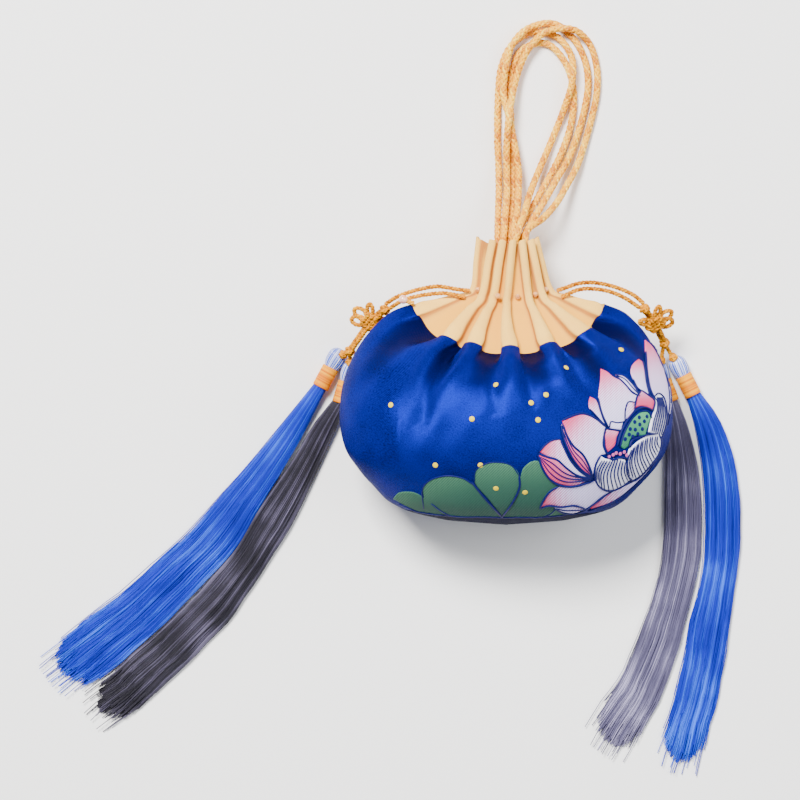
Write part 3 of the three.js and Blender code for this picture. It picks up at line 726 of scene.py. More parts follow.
class ThreadTree(GrowthTree):
    """Loose threads: thin tubes along given lines, that wander together and each on its own."""

    def __init__(self) -> None:
        """Builds the tree."""
        super().__init__("loose_threads")
        radius = self.size("Thread Radius", 0.22 * MM)
        sides = self.size("Thread Sides", 4)
        common = self.size("Common Wander", 1.5 * MM)
        own = self.size("Own Wander", 0.8 * MM)
        seed = self.size("Seed", 0.0)
        place, along = self.place(), self.along()
        number = self.node("GeometryNodeInputNamedAttribute", {"Name": "number"}, data_type="FLOAT")
        parts = {0: self.times(number, 0.37), 1: self.times(number, 0.11), 2: seed}
        shift = self.node("ShaderNodeCombineXYZ", parts)
        apart = self.vector("ADD", self.vector("SCALE", place, 9.0), shift)
        offsets = []
        for noise, size in ((self.noise(place, 38.0, 2.0), common), (self.noise(apart, 1.6, 2.0), own)):
            centred = self.vector("SUBTRACT", noise.outputs["Color"], (0.5, 0.5, 0.5))
            grown = self.vector("SCALE", centred, self.times(self.times(size, 4.0), along))
            offsets.append(self.vector("MULTIPLY", grown, (1.0, 1.0, 0.0)))
        inputs = {0: self.lines(), "Offset": self.vector("ADD", *offsets)}
        self.tubes(self.node("GeometryNodeSetPosition", inputs), radius, sides)


class SpunTree(GrowthTree):
    """Threads that stand side by side round the Z axis: copies of one line, turned about it."""

    def __init__(self) -> None:
        """Builds the tree."""
        super().__init__("threads_round_an_axis")
        radius = self.size("Thread Radius", 0.3 * MM)
        count = self.size("Count", 48)
        twist = self.size("Twist", 0.3)
        sides = self.size("Thread Sides", 6)
        copies = self.copies(self.lines(), count)
        number = copies.outputs["Duplicate Index"]
        turn = self.times(self.math("DIVIDE", number, count), TURN)
        inputs = {"Vector": self.place(), "Angle": self.math("MULTIPLY_ADD", self.along(), twist, turn)}
        rotated = self.node("ShaderNodeVectorRotate", inputs, rotation_type="Z_AXIS")
        moved = self.node("GeometryNodeSetPosition", {0: copies, "Position": rotated})
        self.tubes(self.kept(moved, "shade", self.random(number, 7)), radius, sides)


class WindingTree(GrowthTree):
    """One thread wound in close turns about the Z axis, up from the origin."""

    def __init__(self) -> None:
        """Builds the tree."""
        super().__init__("wound_thread")
        radius = self.size("Thread Radius", 0.24 * MM)
        reach = self.size("Winding Radius", 4.4 * MM)
        height = self.size("Height", 11 * MM)
        turns = self.size("Turns", 24.0)
        sizes = {"Rotations": turns, "Start Radius": reach, "End Radius": reach, "Height": height}
        spiral = self.node("GeometryNodeCurveSpiral", {"Resolution": 36, **sizes})
        turn = self.math("FLOOR", self.times(self.along(), turns))
        self.tubes(self.kept(spiral, "shade", self.random(turn, 3)), radius, 6)


class BeadTree(GrowthTree):
    """Beads with flat facets, one on each point."""

    def __init__(self) -> None:
        """Builds the tree."""
        super().__init__("beads_on_points")
        radius = self.size("Bead Radius", 1.4 * MM)
        bead = self.node("GeometryNodeMeshIcoSphere", {"Radius": radius, "Subdivisions": 2})
        inputs = {"Points": self.given["Geometry"], "Instance": bead}
        self.finish(self.node("GeometryNodeInstanceOnPoints", inputs), smooth=False)


class KnobTree(GrowthTree):
    """Small raised dots on a cloth, turned to the way that the cloth faces at each point."""

    def __init__(self) -> None:
        """Builds the tree."""
        super().__init__("dots_on_cloth")
        radius = self.size("Dot Radius", 1.3 * MM)
        flat = self.size("Flatness", 0.22)
        dot = self.node("GeometryNodeMeshIcoSphere", {"Radius": radius, "Subdivisions": 3})
        scale = self.node("ShaderNodeCombineXYZ", {0: 1.0, 1: 1.0, 2: flat})
        flattened = self.node("GeometryNodeTransform", {"Geometry": dot, "Scale": scale})
        facing = self.node("GeometryNodeInputNamedAttribute", {"Name": "facing"}, data_type="FLOAT_VECTOR")
        turned = self.node("FunctionNodeAlignRotationToVector", {"Vector": facing}, axis="Z")
        inputs = {"Points": self.given["Geometry"], "Instance": flattened, "Rotation": turned}
        self.finish(self.node("GeometryNodeInstanceOnPoints", inputs))


@dataclass(frozen=True)
class Trees:
    """The trees of Geometry Nodes that the pieces share."""

    braid: BraidTree = field(default_factory=BraidTree)
    thread: ThreadTree = field(default_factory=ThreadTree)
    spun: SpunTree = field(default_factory=SpunTree)
    winding: WindingTree = field(default_factory=WindingTree)
    bead: BeadTree = field(default_factory=BeadTree)
    knob: KnobTree = field(default_factory=KnobTree)


class Finish(Enum):
    """The finishes of the purse."""

    # The cloths' flank and valley colours are painted shade in their folds.
    BROCADE = ClothFinish(
        "blue_satin_brocade",
        dark=srgb(1, 2, 30), light=srgb(15, 30, 142), flank_shade=srgb(6, 6, 50), valley=srgb(6, 6, 58),
        gloss=Gloss(0.38, 0.09, metallic=0.6, edge_tint=srgb(20, 26, 84)),
        pitch=0.75 * MM, depth=0.07 * MM, flank_shade_share=0.4,
    )
    TWILL = ClothFinish(
        "beige_neck_twill",
        dark=srgb(228, 164, 66), light=srgb(252, 206, 104), flank_shade=srgb(160, 72, 14),
        valley=srgb(240, 170, 52), gloss=Gloss(0.85, 0.1),
        pitch=0.45 * MM, depth=0.05 * MM, valley_shade_start=0.72,
    )
    BASE = ClothFinish(
        "navy_base_cloth",
        dark=srgb(2, 3, 26), light=srgb(6, 8, 50), flank_shade=srgb(3, 4, 30), valley=srgb(3, 4, 34),
        gloss=Gloss(0.8, 0.08), pitch=0.6 * MM, depth=0.07 * MM,
    )
    LEAF = WovenMotifFinish(
        "green_brocade_threads",
        tip=srgb(66, 110, 84), root=srgb(42, 82, 68), under=srgb(14, 40, 52),
        gloss=Gloss(0.7, 0.12), pitch=1.4 * MM,
    )
    PETAL = WovenMotifFinish(
        "pink_to_white_brocade_threads",
        tip=srgb(216, 40, 68), root=srgb(216, 210, 248), under=srgb(150, 120, 196),
        gloss=Gloss(0.6, 0.15), pitch=1.4 * MM, under_share=0.5,
    )
    POD = WovenMotifFinish(
        "green_pod_threads",
        tip=srgb(84, 168, 120), root=srgb(50, 124, 92), under=srgb(14, 62, 48),
        gloss=Gloss(0.6, 0.15), pitch=1.2 * MM,
    )
    OUTLINE = ThreadFinish(
        "navy_outline_thread",
        dark=srgb(6, 8, 60), middle=srgb(10, 14, 84), light=srgb(20, 30, 120),
        gloss=Gloss(0.5, 0.12),
    )
    PALE_THREAD = ThreadFinish(
        "pale_motif_thread",
        dark=srgb(205, 205, 240), middle=srgb(226, 226, 250), light=srgb(244, 244, 255),
        gloss=Gloss(0.45, 0.4, 0.05),
    )
    DOT = ThreadFinish(
        "gold_dot_thread",
        dark=srgb(190, 150, 0), middle=srgb(216, 188, 0), light=srgb(244, 218, 20),
        gloss=Gloss(0.4, 0.2),
    )
    SATIN_CORD = ThreadFinish(
        "gold_and_peach_satin_cord",
        dark=srgb(186, 98, 0), middle=srgb(238, 168, 14), light=srgb(252, 224, 96),
        gloss=Gloss(0.35, 0.3),
    )
    KNOT_CORD = ThreadFinish(
        "golden_yellow_cord",
        dark=srgb(140, 70, 0), middle=srgb(214, 138, 0), light=srgb(246, 184, 0),
        gloss=Gloss(0.5, 0.06),
    )
    BINDING = ThreadFinish(
        "gold_binding_thread",
        dark=srgb(206, 104, 0), middle=srgb(228, 134, 0), light=srgb(248, 176, 0),
        gloss=Gloss(0.4, 0.1),
    )
    BLUE_THREAD = ThreadFinish(
        "blue_tassel_thread",
        dark=srgb(10, 14, 96), middle=srgb(20, 40, 178), light=srgb(60, 118, 248),
        gloss=Gloss(0.36, 0.15, metallic=0.2),
    )
    GREY_THREAD = ThreadFinish(
        "dark_grey_tassel_thread",
        dark=srgb(16, 15, 20), middle=srgb(36, 34, 44), light=srgb(104, 98, 124),
        gloss=Gloss(0.36, 0.2),
    )
    # A lighter copy of the grey tassel thread, for the right grey tassel: painted light for the highlights
    # on it.
    LIT_GREY_THREAD = ThreadFinish(
        "violet_grey_tassel_thread",
        dark=srgb(44, 40, 60), middle=srgb(88, 84, 114), light=srgb(176, 170, 206),
        gloss=Gloss(0.36, 0.2),
    )
    # The near-white light tone is partly the pale threads of the head and partly painted sheen, as streaks
    # of highlight.
    HEAD_THREAD = ThreadFinish(
        "pale_blue_head_thread",
        dark=srgb(20, 48, 170), middle=srgb(60, 100, 210), light=srgb(250, 252, 255),
        gloss=Gloss(0.25, 0.65, 0.05),
    )
    NECK_BEAD = BeadFinish(
        "champagne_glass_bead",
        dark=srgb(176, 96, 40), light=srgb(240, 178, 104), gloss=Gloss(0.12, 0.7, coat=0.6),
    )
    SIDE_BEAD = BeadFinish(
        "pink_pearl_bead",
        dark=srgb(222, 130, 88), light=srgb(255, 214, 196), gloss=Gloss(0.15, 0.7, coat=0.8),
    )

    def made(self, effects: SharedEffects) -> Material:
        """A material with this finish."""
        return self.value.material(effects)


@dataclass(frozen=True)
class Ring:
    """One ring of the purse, whose lengths are shares of the named sizes.

    side and front say how far up the purse a ridge lies, as shares of half the length. width and
    shift are shares of half the width. middle, top and back are heights, as shares of the depth.
    fold, pleat and drop are shares of the pleat's depth and width and of the valley's drop.
    gather is 0 where pleats stand as at the mouth, 1 at the drawstring and 2 at the seam.
    """

    name: str
    side: float
    front: float
    width: float
    shift: float
    middle: float
    top: float
    back: float
    fold: float
    pleat: float
    drop: float
    gather: float


@dataclass(frozen=True)
class Pleat:
    """Where the ridge of a pleat stands, in degrees from the right side over the front."""

    name: str
    mouth: float
    drawstring: float
    seam: float


@dataclass(frozen=True)
class PleatColumn:
    """One column of a pleat: its place across the half width, what is tucked in, and its depth."""

    name: str
    across: float
    tuck: float
    depth: float


RINGS = (
    Ring("mouth", 1.0, 0.966, 0.19, 0.014, 0.326, 0.489, 0.163, 0.6, 0.95, 0.5, 0),
    Ring("collar", 0.841, 0.793, 0.215, 0.022, 0.352, 0.522, 0.182, 0.76, 1.0, 0, 0.45),
    Ring("drawstring", 0.634, 0.552, 0.253, 0.036, 0.38, 0.565, 0.196, 0.9, 1.0, 0, 1),
    Ring("flare", 0.593, 0.455, 0.345, 0.03, 0.41, 0.63, 0.185, 1.0, 1.2, 0.25, 1.33),
    Ring("drape", 0.559, 0.352, 0.452, 0.022, 0.425, 0.695, 0.163, 1.0, 1.65, 0.6, 1.66),
    Ring("seam", 0.528, 0.241, 0.575, 0.014, 0.44, 0.755, 0.141, 0.85, 2.3, 1.0, 2),
    Ring("shoulder", 0.434, 0.124, 0.741, 0.006, 0.455, 0.85, 0.043, 0.7, 2.7, 0.6, 2),
    Ring("upper_belly", 0.186, -0.055, 0.91, 0, 0.47, 0.951, -0.054, 0.42, 3.3, 0.2, 2),
    Ring("belly", -0.138, -0.283, 1.0, 0, 0.478, 1.0, -0.098, 0.18, 3.8, 0, 2),
    Ring("lower_belly", -0.469, -0.579, 0.964, 0, 0.478, 0.978, -0.087, 0.05, 3.8, 0, 2),
    Ring("heel", -0.724, -0.814, 0.795, 0, 0.467, 0.859, -0.022, 0, 3.8, 0, 2),
    Ring("foot", -0.862, -0.931, 0.651, 0, 0.45, 0.728, 0.087, 0, 3.8, 0, 2),
    Ring("base", -0.95, -0.978, 0.4, 0, 0.44, 0.6, 0.22, 0, 3.8, 0, 2),
)
SEAM = 5
FOOT = 11

PLEATS = (
    Pleat("right", 0, 0, 0),
    Pleat("front_1", 36, 36, 36),
    Pleat("front_2", 60, 64, 66),
    Pleat("front_3", 81, 99, 90),
    Pleat("front_4", 102, 121, 113),
    Pleat("front_5", 124, 143, 131),
    Pleat("left", 180, 180, 180),
    Pleat("back_1", 210, 210, 210),
    Pleat("back_2", 240, 240, 240),
    Pleat("back_3", 270, 270, 270),
    Pleat("back_4", 300, 300, 300),
    Pleat("back_5", 330, 330, 330),
)

PLEAT_COLUMNS = (
    PleatColumn("foot_before", -1.15, 0.32, 0.86),
    PleatColumn("shoulder_before", -0.9, 0, 0.3),
    PleatColumn("ridge", 0, 0, 0),
    PleatColumn("shoulder_after", 0.9, 0, 0.3),
    PleatColumn("foot_after", 1.15, 0.32, 0.86),
)


@dataclass
class ClothForm:
    """The cloth of the purse as a surface: rings from the mouth to the base, with their pleats."""

    length: float = 145 * MM
    width: float = 166 * MM
    depth: float = 92 * MM
    pleat_width: float = 4.2 * MM
    pleat_depth: float = 6 * MM
    valley_drop: float = 4.5 * MM
    floor_ease: float = 5 * MM
    saddle: float = 0.9
    crowded: float = 0.4
    base_middle: float = 0.44
    columns: int = 576
    girth: float = 480 * MM
    opening_rings: float = 1.1
    eased_folds: float = 0.75

    def ring_values(self, where: np.ndarray) -> dict[str, np.ndarray]:
        """The values of the rings at ring numbers with fractions, by name."""
        names = [name for name in Ring.__dataclass_fields__ if name != "name"]
        table = np.array([[getattr(ring, name) for name in names] for ring in RINGS], float)
        blended = spline_weights(len(RINGS), where, closed=False) @ table
        return dict(zip(names, blended.T))

    def ridge_angle(self, pleat: Pleat, gather: float) -> float:
        """The angle of a pleat's ridge at a ring, in radians."""
        if gather <= 1:
            degrees = pleat.mouth + (pleat.drawstring - pleat.mouth) * gather
        else:
            degrees = pleat.drawstring + (pleat.seam - pleat.drawstring) * (gather - 1)
        return math.radians(degrees)

    def stretch(self, ring: dict[str, float], angle: float, inset: float) -> float:
        """Metres of ring in one radian at an angle."""
        reach = (ring["top"] - ring["back"]) * self.depth * 0.5 - inset
        across = ring["width"] * self.width / 2 - inset
        return math.hypot(across * math.sin(angle), reach * math.cos(angle))

    def ring_columns(self, ring: dict[str, float]) -> np.ndarray:
        """The angle, the inset and the share of depth of each column of one ring.

        Args:
            ring: The values of the ring, with open: how far its pleats have opened out, 0 to 1.

        Returns:
            A row for each column.
        """
        opened = ring["open"]
        fold = ring["fold"] * self.pleat_depth * (1 - self.eased_folds * opened)
        ridges = [self.ridge_angle(pleat, ring["gather"]) for pleat in PLEATS]
        rows = []
        for k, ridge in enumerate(ridges):
            before = (ridge - ridges[k - 1]) % TURN
            after = (ridges[(k + 1) % len(ridges)] - ridge) % TURN
            room = self.crowded * min(before, after)
            for j, column in enumerate(PLEAT_COLUMNS, start=-2):
                even = ridge + (after if j > 0 else before) * j / 6
                wave = (1 - math.cos(math.pi * abs(j) / 3)) / 2
                deep = column.depth + (wave - column.depth) * opened
                wanted = 0.5 * ring["pleat"] * self.pleat_width / self.stretch(ring, ridge, deep * fold)
                across = column.across * (1 - column.tuck * ring["fold"])
                folded = ridge + across * min(wanted, room)
                rows.append((folded + (even - folded) * opened, deep * fold, deep))
            rows.append((math.nan, fold, 1.0))
        table = np.array(rows)
        step = len(PLEAT_COLUMNS) + 1
        last = table[step - 2 :: step, 0]
        following = np.append(table[step::step, 0], table[0, 0] + TURN)
        table[step - 1 :: step, 0] = (last + following) / 2
        return table

    def points(self, where: np.ndarray, inset: float = 0.0) -> tuple[np.ndarray, np.ndarray]:
        """Points of the cloth's outer side.

        Args:
            where: Ring numbers, with fractions, from the mouth to the base.
            inset: How far inside the surface the points lie.

        Returns:
            The points, by ring and column, and for each how deep in a fold it lies, from 0 to 1.
        """
        values = self.ring_values(where)
        count = len(PLEATS) * (len(PLEAT_COLUMNS) + 1)
        places = np.arange(self.columns) * count / self.columns
        weights = spline_weights(count, places, closed=True)
        even = TURN * np.arange(count) / count
        found, deep = [], []
        for r in range(len(where)):
            ring = {name: numbers[r] for name, numbers in values.items()}
            below = min(max((where[r] - SEAM) / self.opening_rings, 0), 1)
            ring["open"] = eased(below)
            table = self.ring_columns(ring)
            angle = weights @ (table[:, 0] - even) + TURN * np.arange(self.columns) / self.columns
            sunk = weights @ table[:, 1] + inset
            share = np.clip(weights @ table[:, 2], 0, 1)
            found.append(self.ring_points(ring, angle, sunk, share))
            deep.append(share * min(1, ring["fold"] * 1.2))
        return np.array(found), np.array(deep)

    def ring_points(
        self, ring: dict[str, float], angle: np.ndarray, sunk: np.ndarray, share: np.ndarray
    ) -> np.ndarray:
        """Points of one ring at some angles, sunk in by some lengths."""
        up = np.sin(angle)
        middle = ring["middle"] * self.depth
        reach = np.where(up >= 0, ring["top"] * self.depth - middle, middle - ring["back"] * self.depth)
        slope = np.abs(up) ** self.saddle
        along = (ring["side"] + (ring["front"] - ring["side"]) * slope) * self.length / 2
        x = ring["shift"] * self.width / 2 + (ring["width"] * self.width / 2 - sunk) * np.cos(angle)
        y = along - ring["drop"] * self.valley_drop * share
        return np.stack([x, y, self.rested(middle + (reach - sunk) * up)], axis=1)

    def rested(self, z: np.ndarray) -> np.ndarray:
        """Heights above the floor of points that would lie at z if the floor weren't there."""
        ease = self.floor_ease
        return np.where(z >= ease, z, (np.clip(z, -ease, ease) + ease) ** 2 / (4 * ease))

    def base_point(self) -> np.ndarray:
        """The middle of the base."""
        return np.array([0, -self.length / 2, self.base_middle * self.depth])

    def normals(self, grid: np.ndarray) -> np.ndarray:
        """Outward directions at the points of a grid of rings."""
        along = np.gradient(grid, axis=0)
        around = np.roll(grid, -1, axis=1) - np.roll(grid, 1, axis=1)
        normal = unit(np.cross(along, around))
        middle = grid.mean(axis=1, keepdims=True)
        outward = ((grid - middle) * normal).sum() > 0
        return normal if outward else -normal


@dataclass(frozen=True)
class Crease:
    """A soft crease in the belly, in millimetres: a line as seen from above, its depth and half width."""

    name: str
    line: tuple[Spot, ...]
    depth: float
    half_width: float


CREASES = (
    Crease("left", ((-26, 16), (-38, -2.5), (-43.5, -25)), 2.6, 3.6),
    Crease("middle", ((-6, 13), (-7.5, -2), (-6, -18.5)), 1.7, 3.4),
    Crease("middle_right", ((8, 13), (9.5, -2), (12.5, -15)), 1.5, 3.2),
    Crease("right", ((27, 16.5), (34.5, 0.5), (41.5, -8.5)), 1.6, 3.4),
    Crease("shoulder", ((42, 24.5), (52.5, 16), (60.5, 7)), 1.4, 3.4),
)


@dataclass
class Cloths:
    """The neck, the belly and the base, sewn edge to edge."""

    form: ClothForm
    effects: SharedEffects
    body_wall: float = 1.6 * MM
    neck_wall: float = 1.2 * MM
    neck_rows: int = 84
    body_rows: int = 110
    base_rows: int = 30
    lining_rows: int = 24
    lining_height: float = 0.2 * MM
    hem: float = 0.9 * MM
    hem_reach: float = 0.12
    hem_roll: float = 0.10
    tuck: float = 0.04
    ripple: float = 0.35 * MM
    belly: BVHTree | None = None

    def build(self) -> None:
        """Makes the three cloths."""
        self.neck()
        self.body()
        self.base()

    def creased(self, grid: np.ndarray, normal: np.ndarray) -> np.ndarray:
        """How far the creases sink each point of the belly, in metres, with a swell beside each."""
        sunk = np.zeros(grid.shape[:2])
        facing_up = np.clip(normal[..., 2] * 2, 0, 1)
        for crease in CREASES:
            line = smooth_path(metres(crease.line), 1.5 * MM)
            gaps = np.linalg.norm(grid[:, :, None, :2] - line, axis=3)
            share = gaps.argmin(axis=2) / (len(line) - 1)
            gap = gaps.min(axis=2) / (crease.half_width * MM)
            shape = np.exp(-(gap**2)) - 0.3 * np.exp(-((gap - 2) ** 2))
            sunk += crease.depth * MM * np.cos(share * math.pi / 2) ** 0.6 * shape * facing_up
        return sunk

    def rippled(self, grid: np.ndarray) -> np.ndarray:
        """Slow small ripples of slack cloth, in metres."""
        x, y, z = (grid[..., k] * TURN for k in range(3))
        waves = np.sin(x / 0.037 + y / 0.061) + np.sin(y / 0.029 - z / 0.047 + 1.3)
        waves += 0.6 * np.sin(x / 0.019 - y / 0.023 + z / 0.031 + 2.1)
        return self.ripple * waves / 2.6

    def shell(
        self,
        name: str,
        outer: np.ndarray,
        deep: np.ndarray,
        wall: float,
        finish: Finish,
        pole: np.ndarray | None = None,
    ) -> Object:
        """A cloth with its wall, closed round both edges.

        Args:
            name: The name of the piece.
            outer: The points of its outer side, by ring and column.
            deep: How deep in a fold each point lies.
            wall: The thickness of the cloth.
            finish: What it is made of.
            pole: The middle point that closes its last ring, if it has one.

        Returns:
            The piece.
        """
        rows, columns = outer.shape[:2]
        count = min(rows, self.lining_rows)
        keep = np.unique(np.linspace(0, rows - 1, count).round().astype(int))[::-1]
        inner = (outer - self.form.normals(outer) * wall)[keep]
        inner[..., 2] = np.maximum(inner[..., 2], self.lining_height)
        rings = np.concatenate([outer, inner])
        parts = MeshParts()
        parts.add(rings.reshape(-1, 3), valley=np.concatenate([deep, deep[keep]]).ravel())
        parts.grid(0, len(rings), columns, closed_rows=pole is None)
        if pole is not None:
            self.close_pole(parts, rows, columns, pole, wall)
        mesh = parts.mesh(name)
        steps = np.linalg.norm(np.diff(outer, axis=0), axis=2).mean(axis=1)
        run = np.concatenate([[0], np.cumsum(steps)])
        up = np.repeat(np.concatenate([run, run[keep]]), columns)
        across = np.tile(np.arange(columns) / columns * self.form.girth, len(rings))
        poles = np.tile([0, run[-1]], (parts.count - len(up), 1))
        cloth_uv(mesh, np.vstack([np.stack([across, up], axis=1), poles]))
        self.mend_uv_seam(mesh)
        return shown(name, faced_out(mesh), finish.made(self.effects))

    def close_pole(self, parts: MeshParts, rows: int, columns: int, pole: np.ndarray, wall: float) -> None:
        """Closes the outer and the inner side at a middle point, in place of the wall between them."""
        first, second, last = (rows - 1) * columns, rows * columns, parts.count - columns
        parts.faces = [face for face in parts.faces if not first <= face[0] < second <= face[2]]
        outer_pole = parts.add(pole[None, :], valley=0.0)
        inner_pole = parts.add(pole[None, :] + [[0, wall, 0]], valley=0.0)
        for c in range(columns):
            d = (c + 1) % columns
            parts.faces.append((first + c, first + d, outer_pole))
            parts.faces.append((second + d, second + c, inner_pole))
            parts.faces.append((last + c, last + d, d, c))

    def mend_uv_seam(self, mesh: Mesh) -> None:
        """Carries the weave on over the column where the ring closes."""
        layer = mesh.uv_layers["cloth"]
        places = np.empty(len(mesh.loops) * 2, np.float32)
        layer.data.foreach_get("uv", places)
        places = places.reshape(-1, 2)
        sizes = np.empty(len(mesh.polygons), int)
        mesh.polygons.foreach_get("loop_total", sizes)
        owner = np.repeat(np.arange(len(sizes)), sizes)
        widest = np.zeros(len(sizes), np.float32)
        np.maximum.at(widest, owner, places[:, 0])
        crossing = (widest[owner] > 0.9 * self.form.girth) & (places[:, 0] < 0.1 * self.form.girth)
        places[crossing, 0] += self.form.girth
        layer.data.foreach_set("uv", places.ravel())

    def neck(self) -> None:
        """The pleated neck, whose lower edge is tucked under the belly's."""
        where = np.linspace(0, SEAM + self.tuck, self.neck_rows)
        outer, deep = self.form.points(where)
        near_seam = np.clip((where - SEAM + 0.5) / 0.5, 0, 1) ** 2
        outer = outer - self.form.normals(outer) * (near_seam * self.hem)[:, None, None]
        piece = self.shell("pleated_neck", outer, deep, self.neck_wall, Finish.TWILL)
        placed(piece, "neck_twill", "neck")

    def body(self) -> None:
        """The belly of brocade, with a soft turned edge at the seam and the creases of the cloth."""
        where = np.linspace(SEAM, FOOT, self.body_rows)
        edge = SEAM + self.hem_reach
        where = np.concatenate([np.linspace(SEAM, edge, 6)[:-1], where[where > edge]])
        outer, deep = self.form.points(where)
        normal = self.form.normals(outer)
        moved = self.rippled(outer) - self.creased(outer, normal)
        from_seam = np.clip((where - SEAM) / self.hem_roll, 0, 1)
        rolled = self.hem * (1 - np.sqrt(np.clip(1 - (1 - from_seam) ** 2, 0, 1)))
        ease = np.clip((where - SEAM) / 0.8, 0, 1)[:, None]
        settled = np.clip(outer[..., 2] / (3 * MM), 0, 1)
        outer = outer + normal * (moved * ease * settled - rolled[:, None])[..., None]
        outer[..., 2] = np.maximum(outer[..., 2], 0.0)
        piece = self.shell("brocade_belly", outer, deep, self.body_wall, Finish.BROCADE)
        placed(piece, "brocade", "body")
        parts = MeshParts()
        parts.grid(0, *outer.shape[:2])
        self.belly = BVHTree.FromPolygons(outer.reshape(-1, 3).tolist(), parts.faces)

    def base(self) -> None:
        """The round base, which closes the purse below the belly."""
        where = np.linspace(FOOT + 0.02, FOOT + 1, self.base_rows)
        outer, deep = self.form.points(where)
        pole = self.form.base_point()
        piece = self.shell("round_base", outer, deep, self.body_wall, Finish.BASE, pole)
        placed(piece, "base_cloth", "base")


@dataclass(frozen=True)
class Drawing:
    """Squares of the drawing that the motif is planned on, as seen from straight above.

    A square is half a millimetre wide on the plane of the belly. Squares are counted to the right
    and downwards, and the origin of the frame lies at the given square.
    """

    square: float = 0.5 * MM
    origin: Spot = (506.0, 380.0)
    plane: float = 42 * MM

    def ray(self, spot: np.ndarray) -> tuple[Vector, Vector]:
        """The eye and the way from it to a spot of the drawing."""
        x = (spot[0] - self.origin[0]) * self.square
        y = (self.origin[1] - spot[1]) * self.square
        eye = Vector(EYE)
        return eye, (Vector((x, y, self.plane)) - eye).normalized()


@dataclass(frozen=True)
class Patch:
    """A part of the motif in one kind of thread. Each edge ends where the next one starts.

    tip and root are where its colour starts and ends. layer is how many parts lie under it.
    """

    name: str
    finish: Finish
    layer: int
    tip: Spot
    root: Spot
    edges: tuple[Edge, ...]


@dataclass(frozen=True)
class Stroke:
    """A line of outline thread: the spots that it passes, its layer and its width in squares."""

    name: str
    layer: int
    width: float
    spots: Edge


@dataclass(frozen=True)
class Fan:
    """Lines of thread from one edge to another, evenly spread, or beside them where along is set."""

    name: str
    layer: int
    count: int
    width: float
    first: Edge
    second: Edge
    along: bool = False


LEAVES = (
    Patch("leaf_far_left", Finish.LEAF, 1, (400, 494), (440, 515), (
        ((393, 499), (398, 493), (408, 491.5), (416, 493), (424, 498)),
        ((432, 508), (428, 513.5), (412, 509)),
    )),
    Patch("leaf_left", Finish.LEAF, 2, (446, 477), (460, 517), (
        ((424, 498), (423, 488), (430, 480), (446, 475.5), (463, 478)),
        ((473, 484), (488, 500)),
        ((502, 517.5), (470, 519), (445, 517), (424, 509)),
    )),
    Patch("leaf_right", Finish.LEAF, 2, (535, 462), (540, 512), (
        ((519.5, 480), (524, 467), (535.5, 460.5), (546, 466), (556, 478)),
        ((566, 490), (556, 508)),
        ((542, 517), (520, 518.5)),
        ((502, 517.5), (516.5, 496)),
    )),
    Patch("leaf_middle", Finish.LEAF, 3, (497, 464), (502, 515), (
        ((502, 516), (488, 499), (474.5, 482), (476, 470), (486, 463.5)),
        ((497.5, 462), (511, 465), (519, 474), (519, 487), (512, 503)),
    )),
    Patch("leaf_under_petal", Finish.LEAF, 1, (552, 506), (575, 514), (
        ((540, 516.5), (556, 507)),
        ((585, 511), (566, 515.5)),
    )),
)

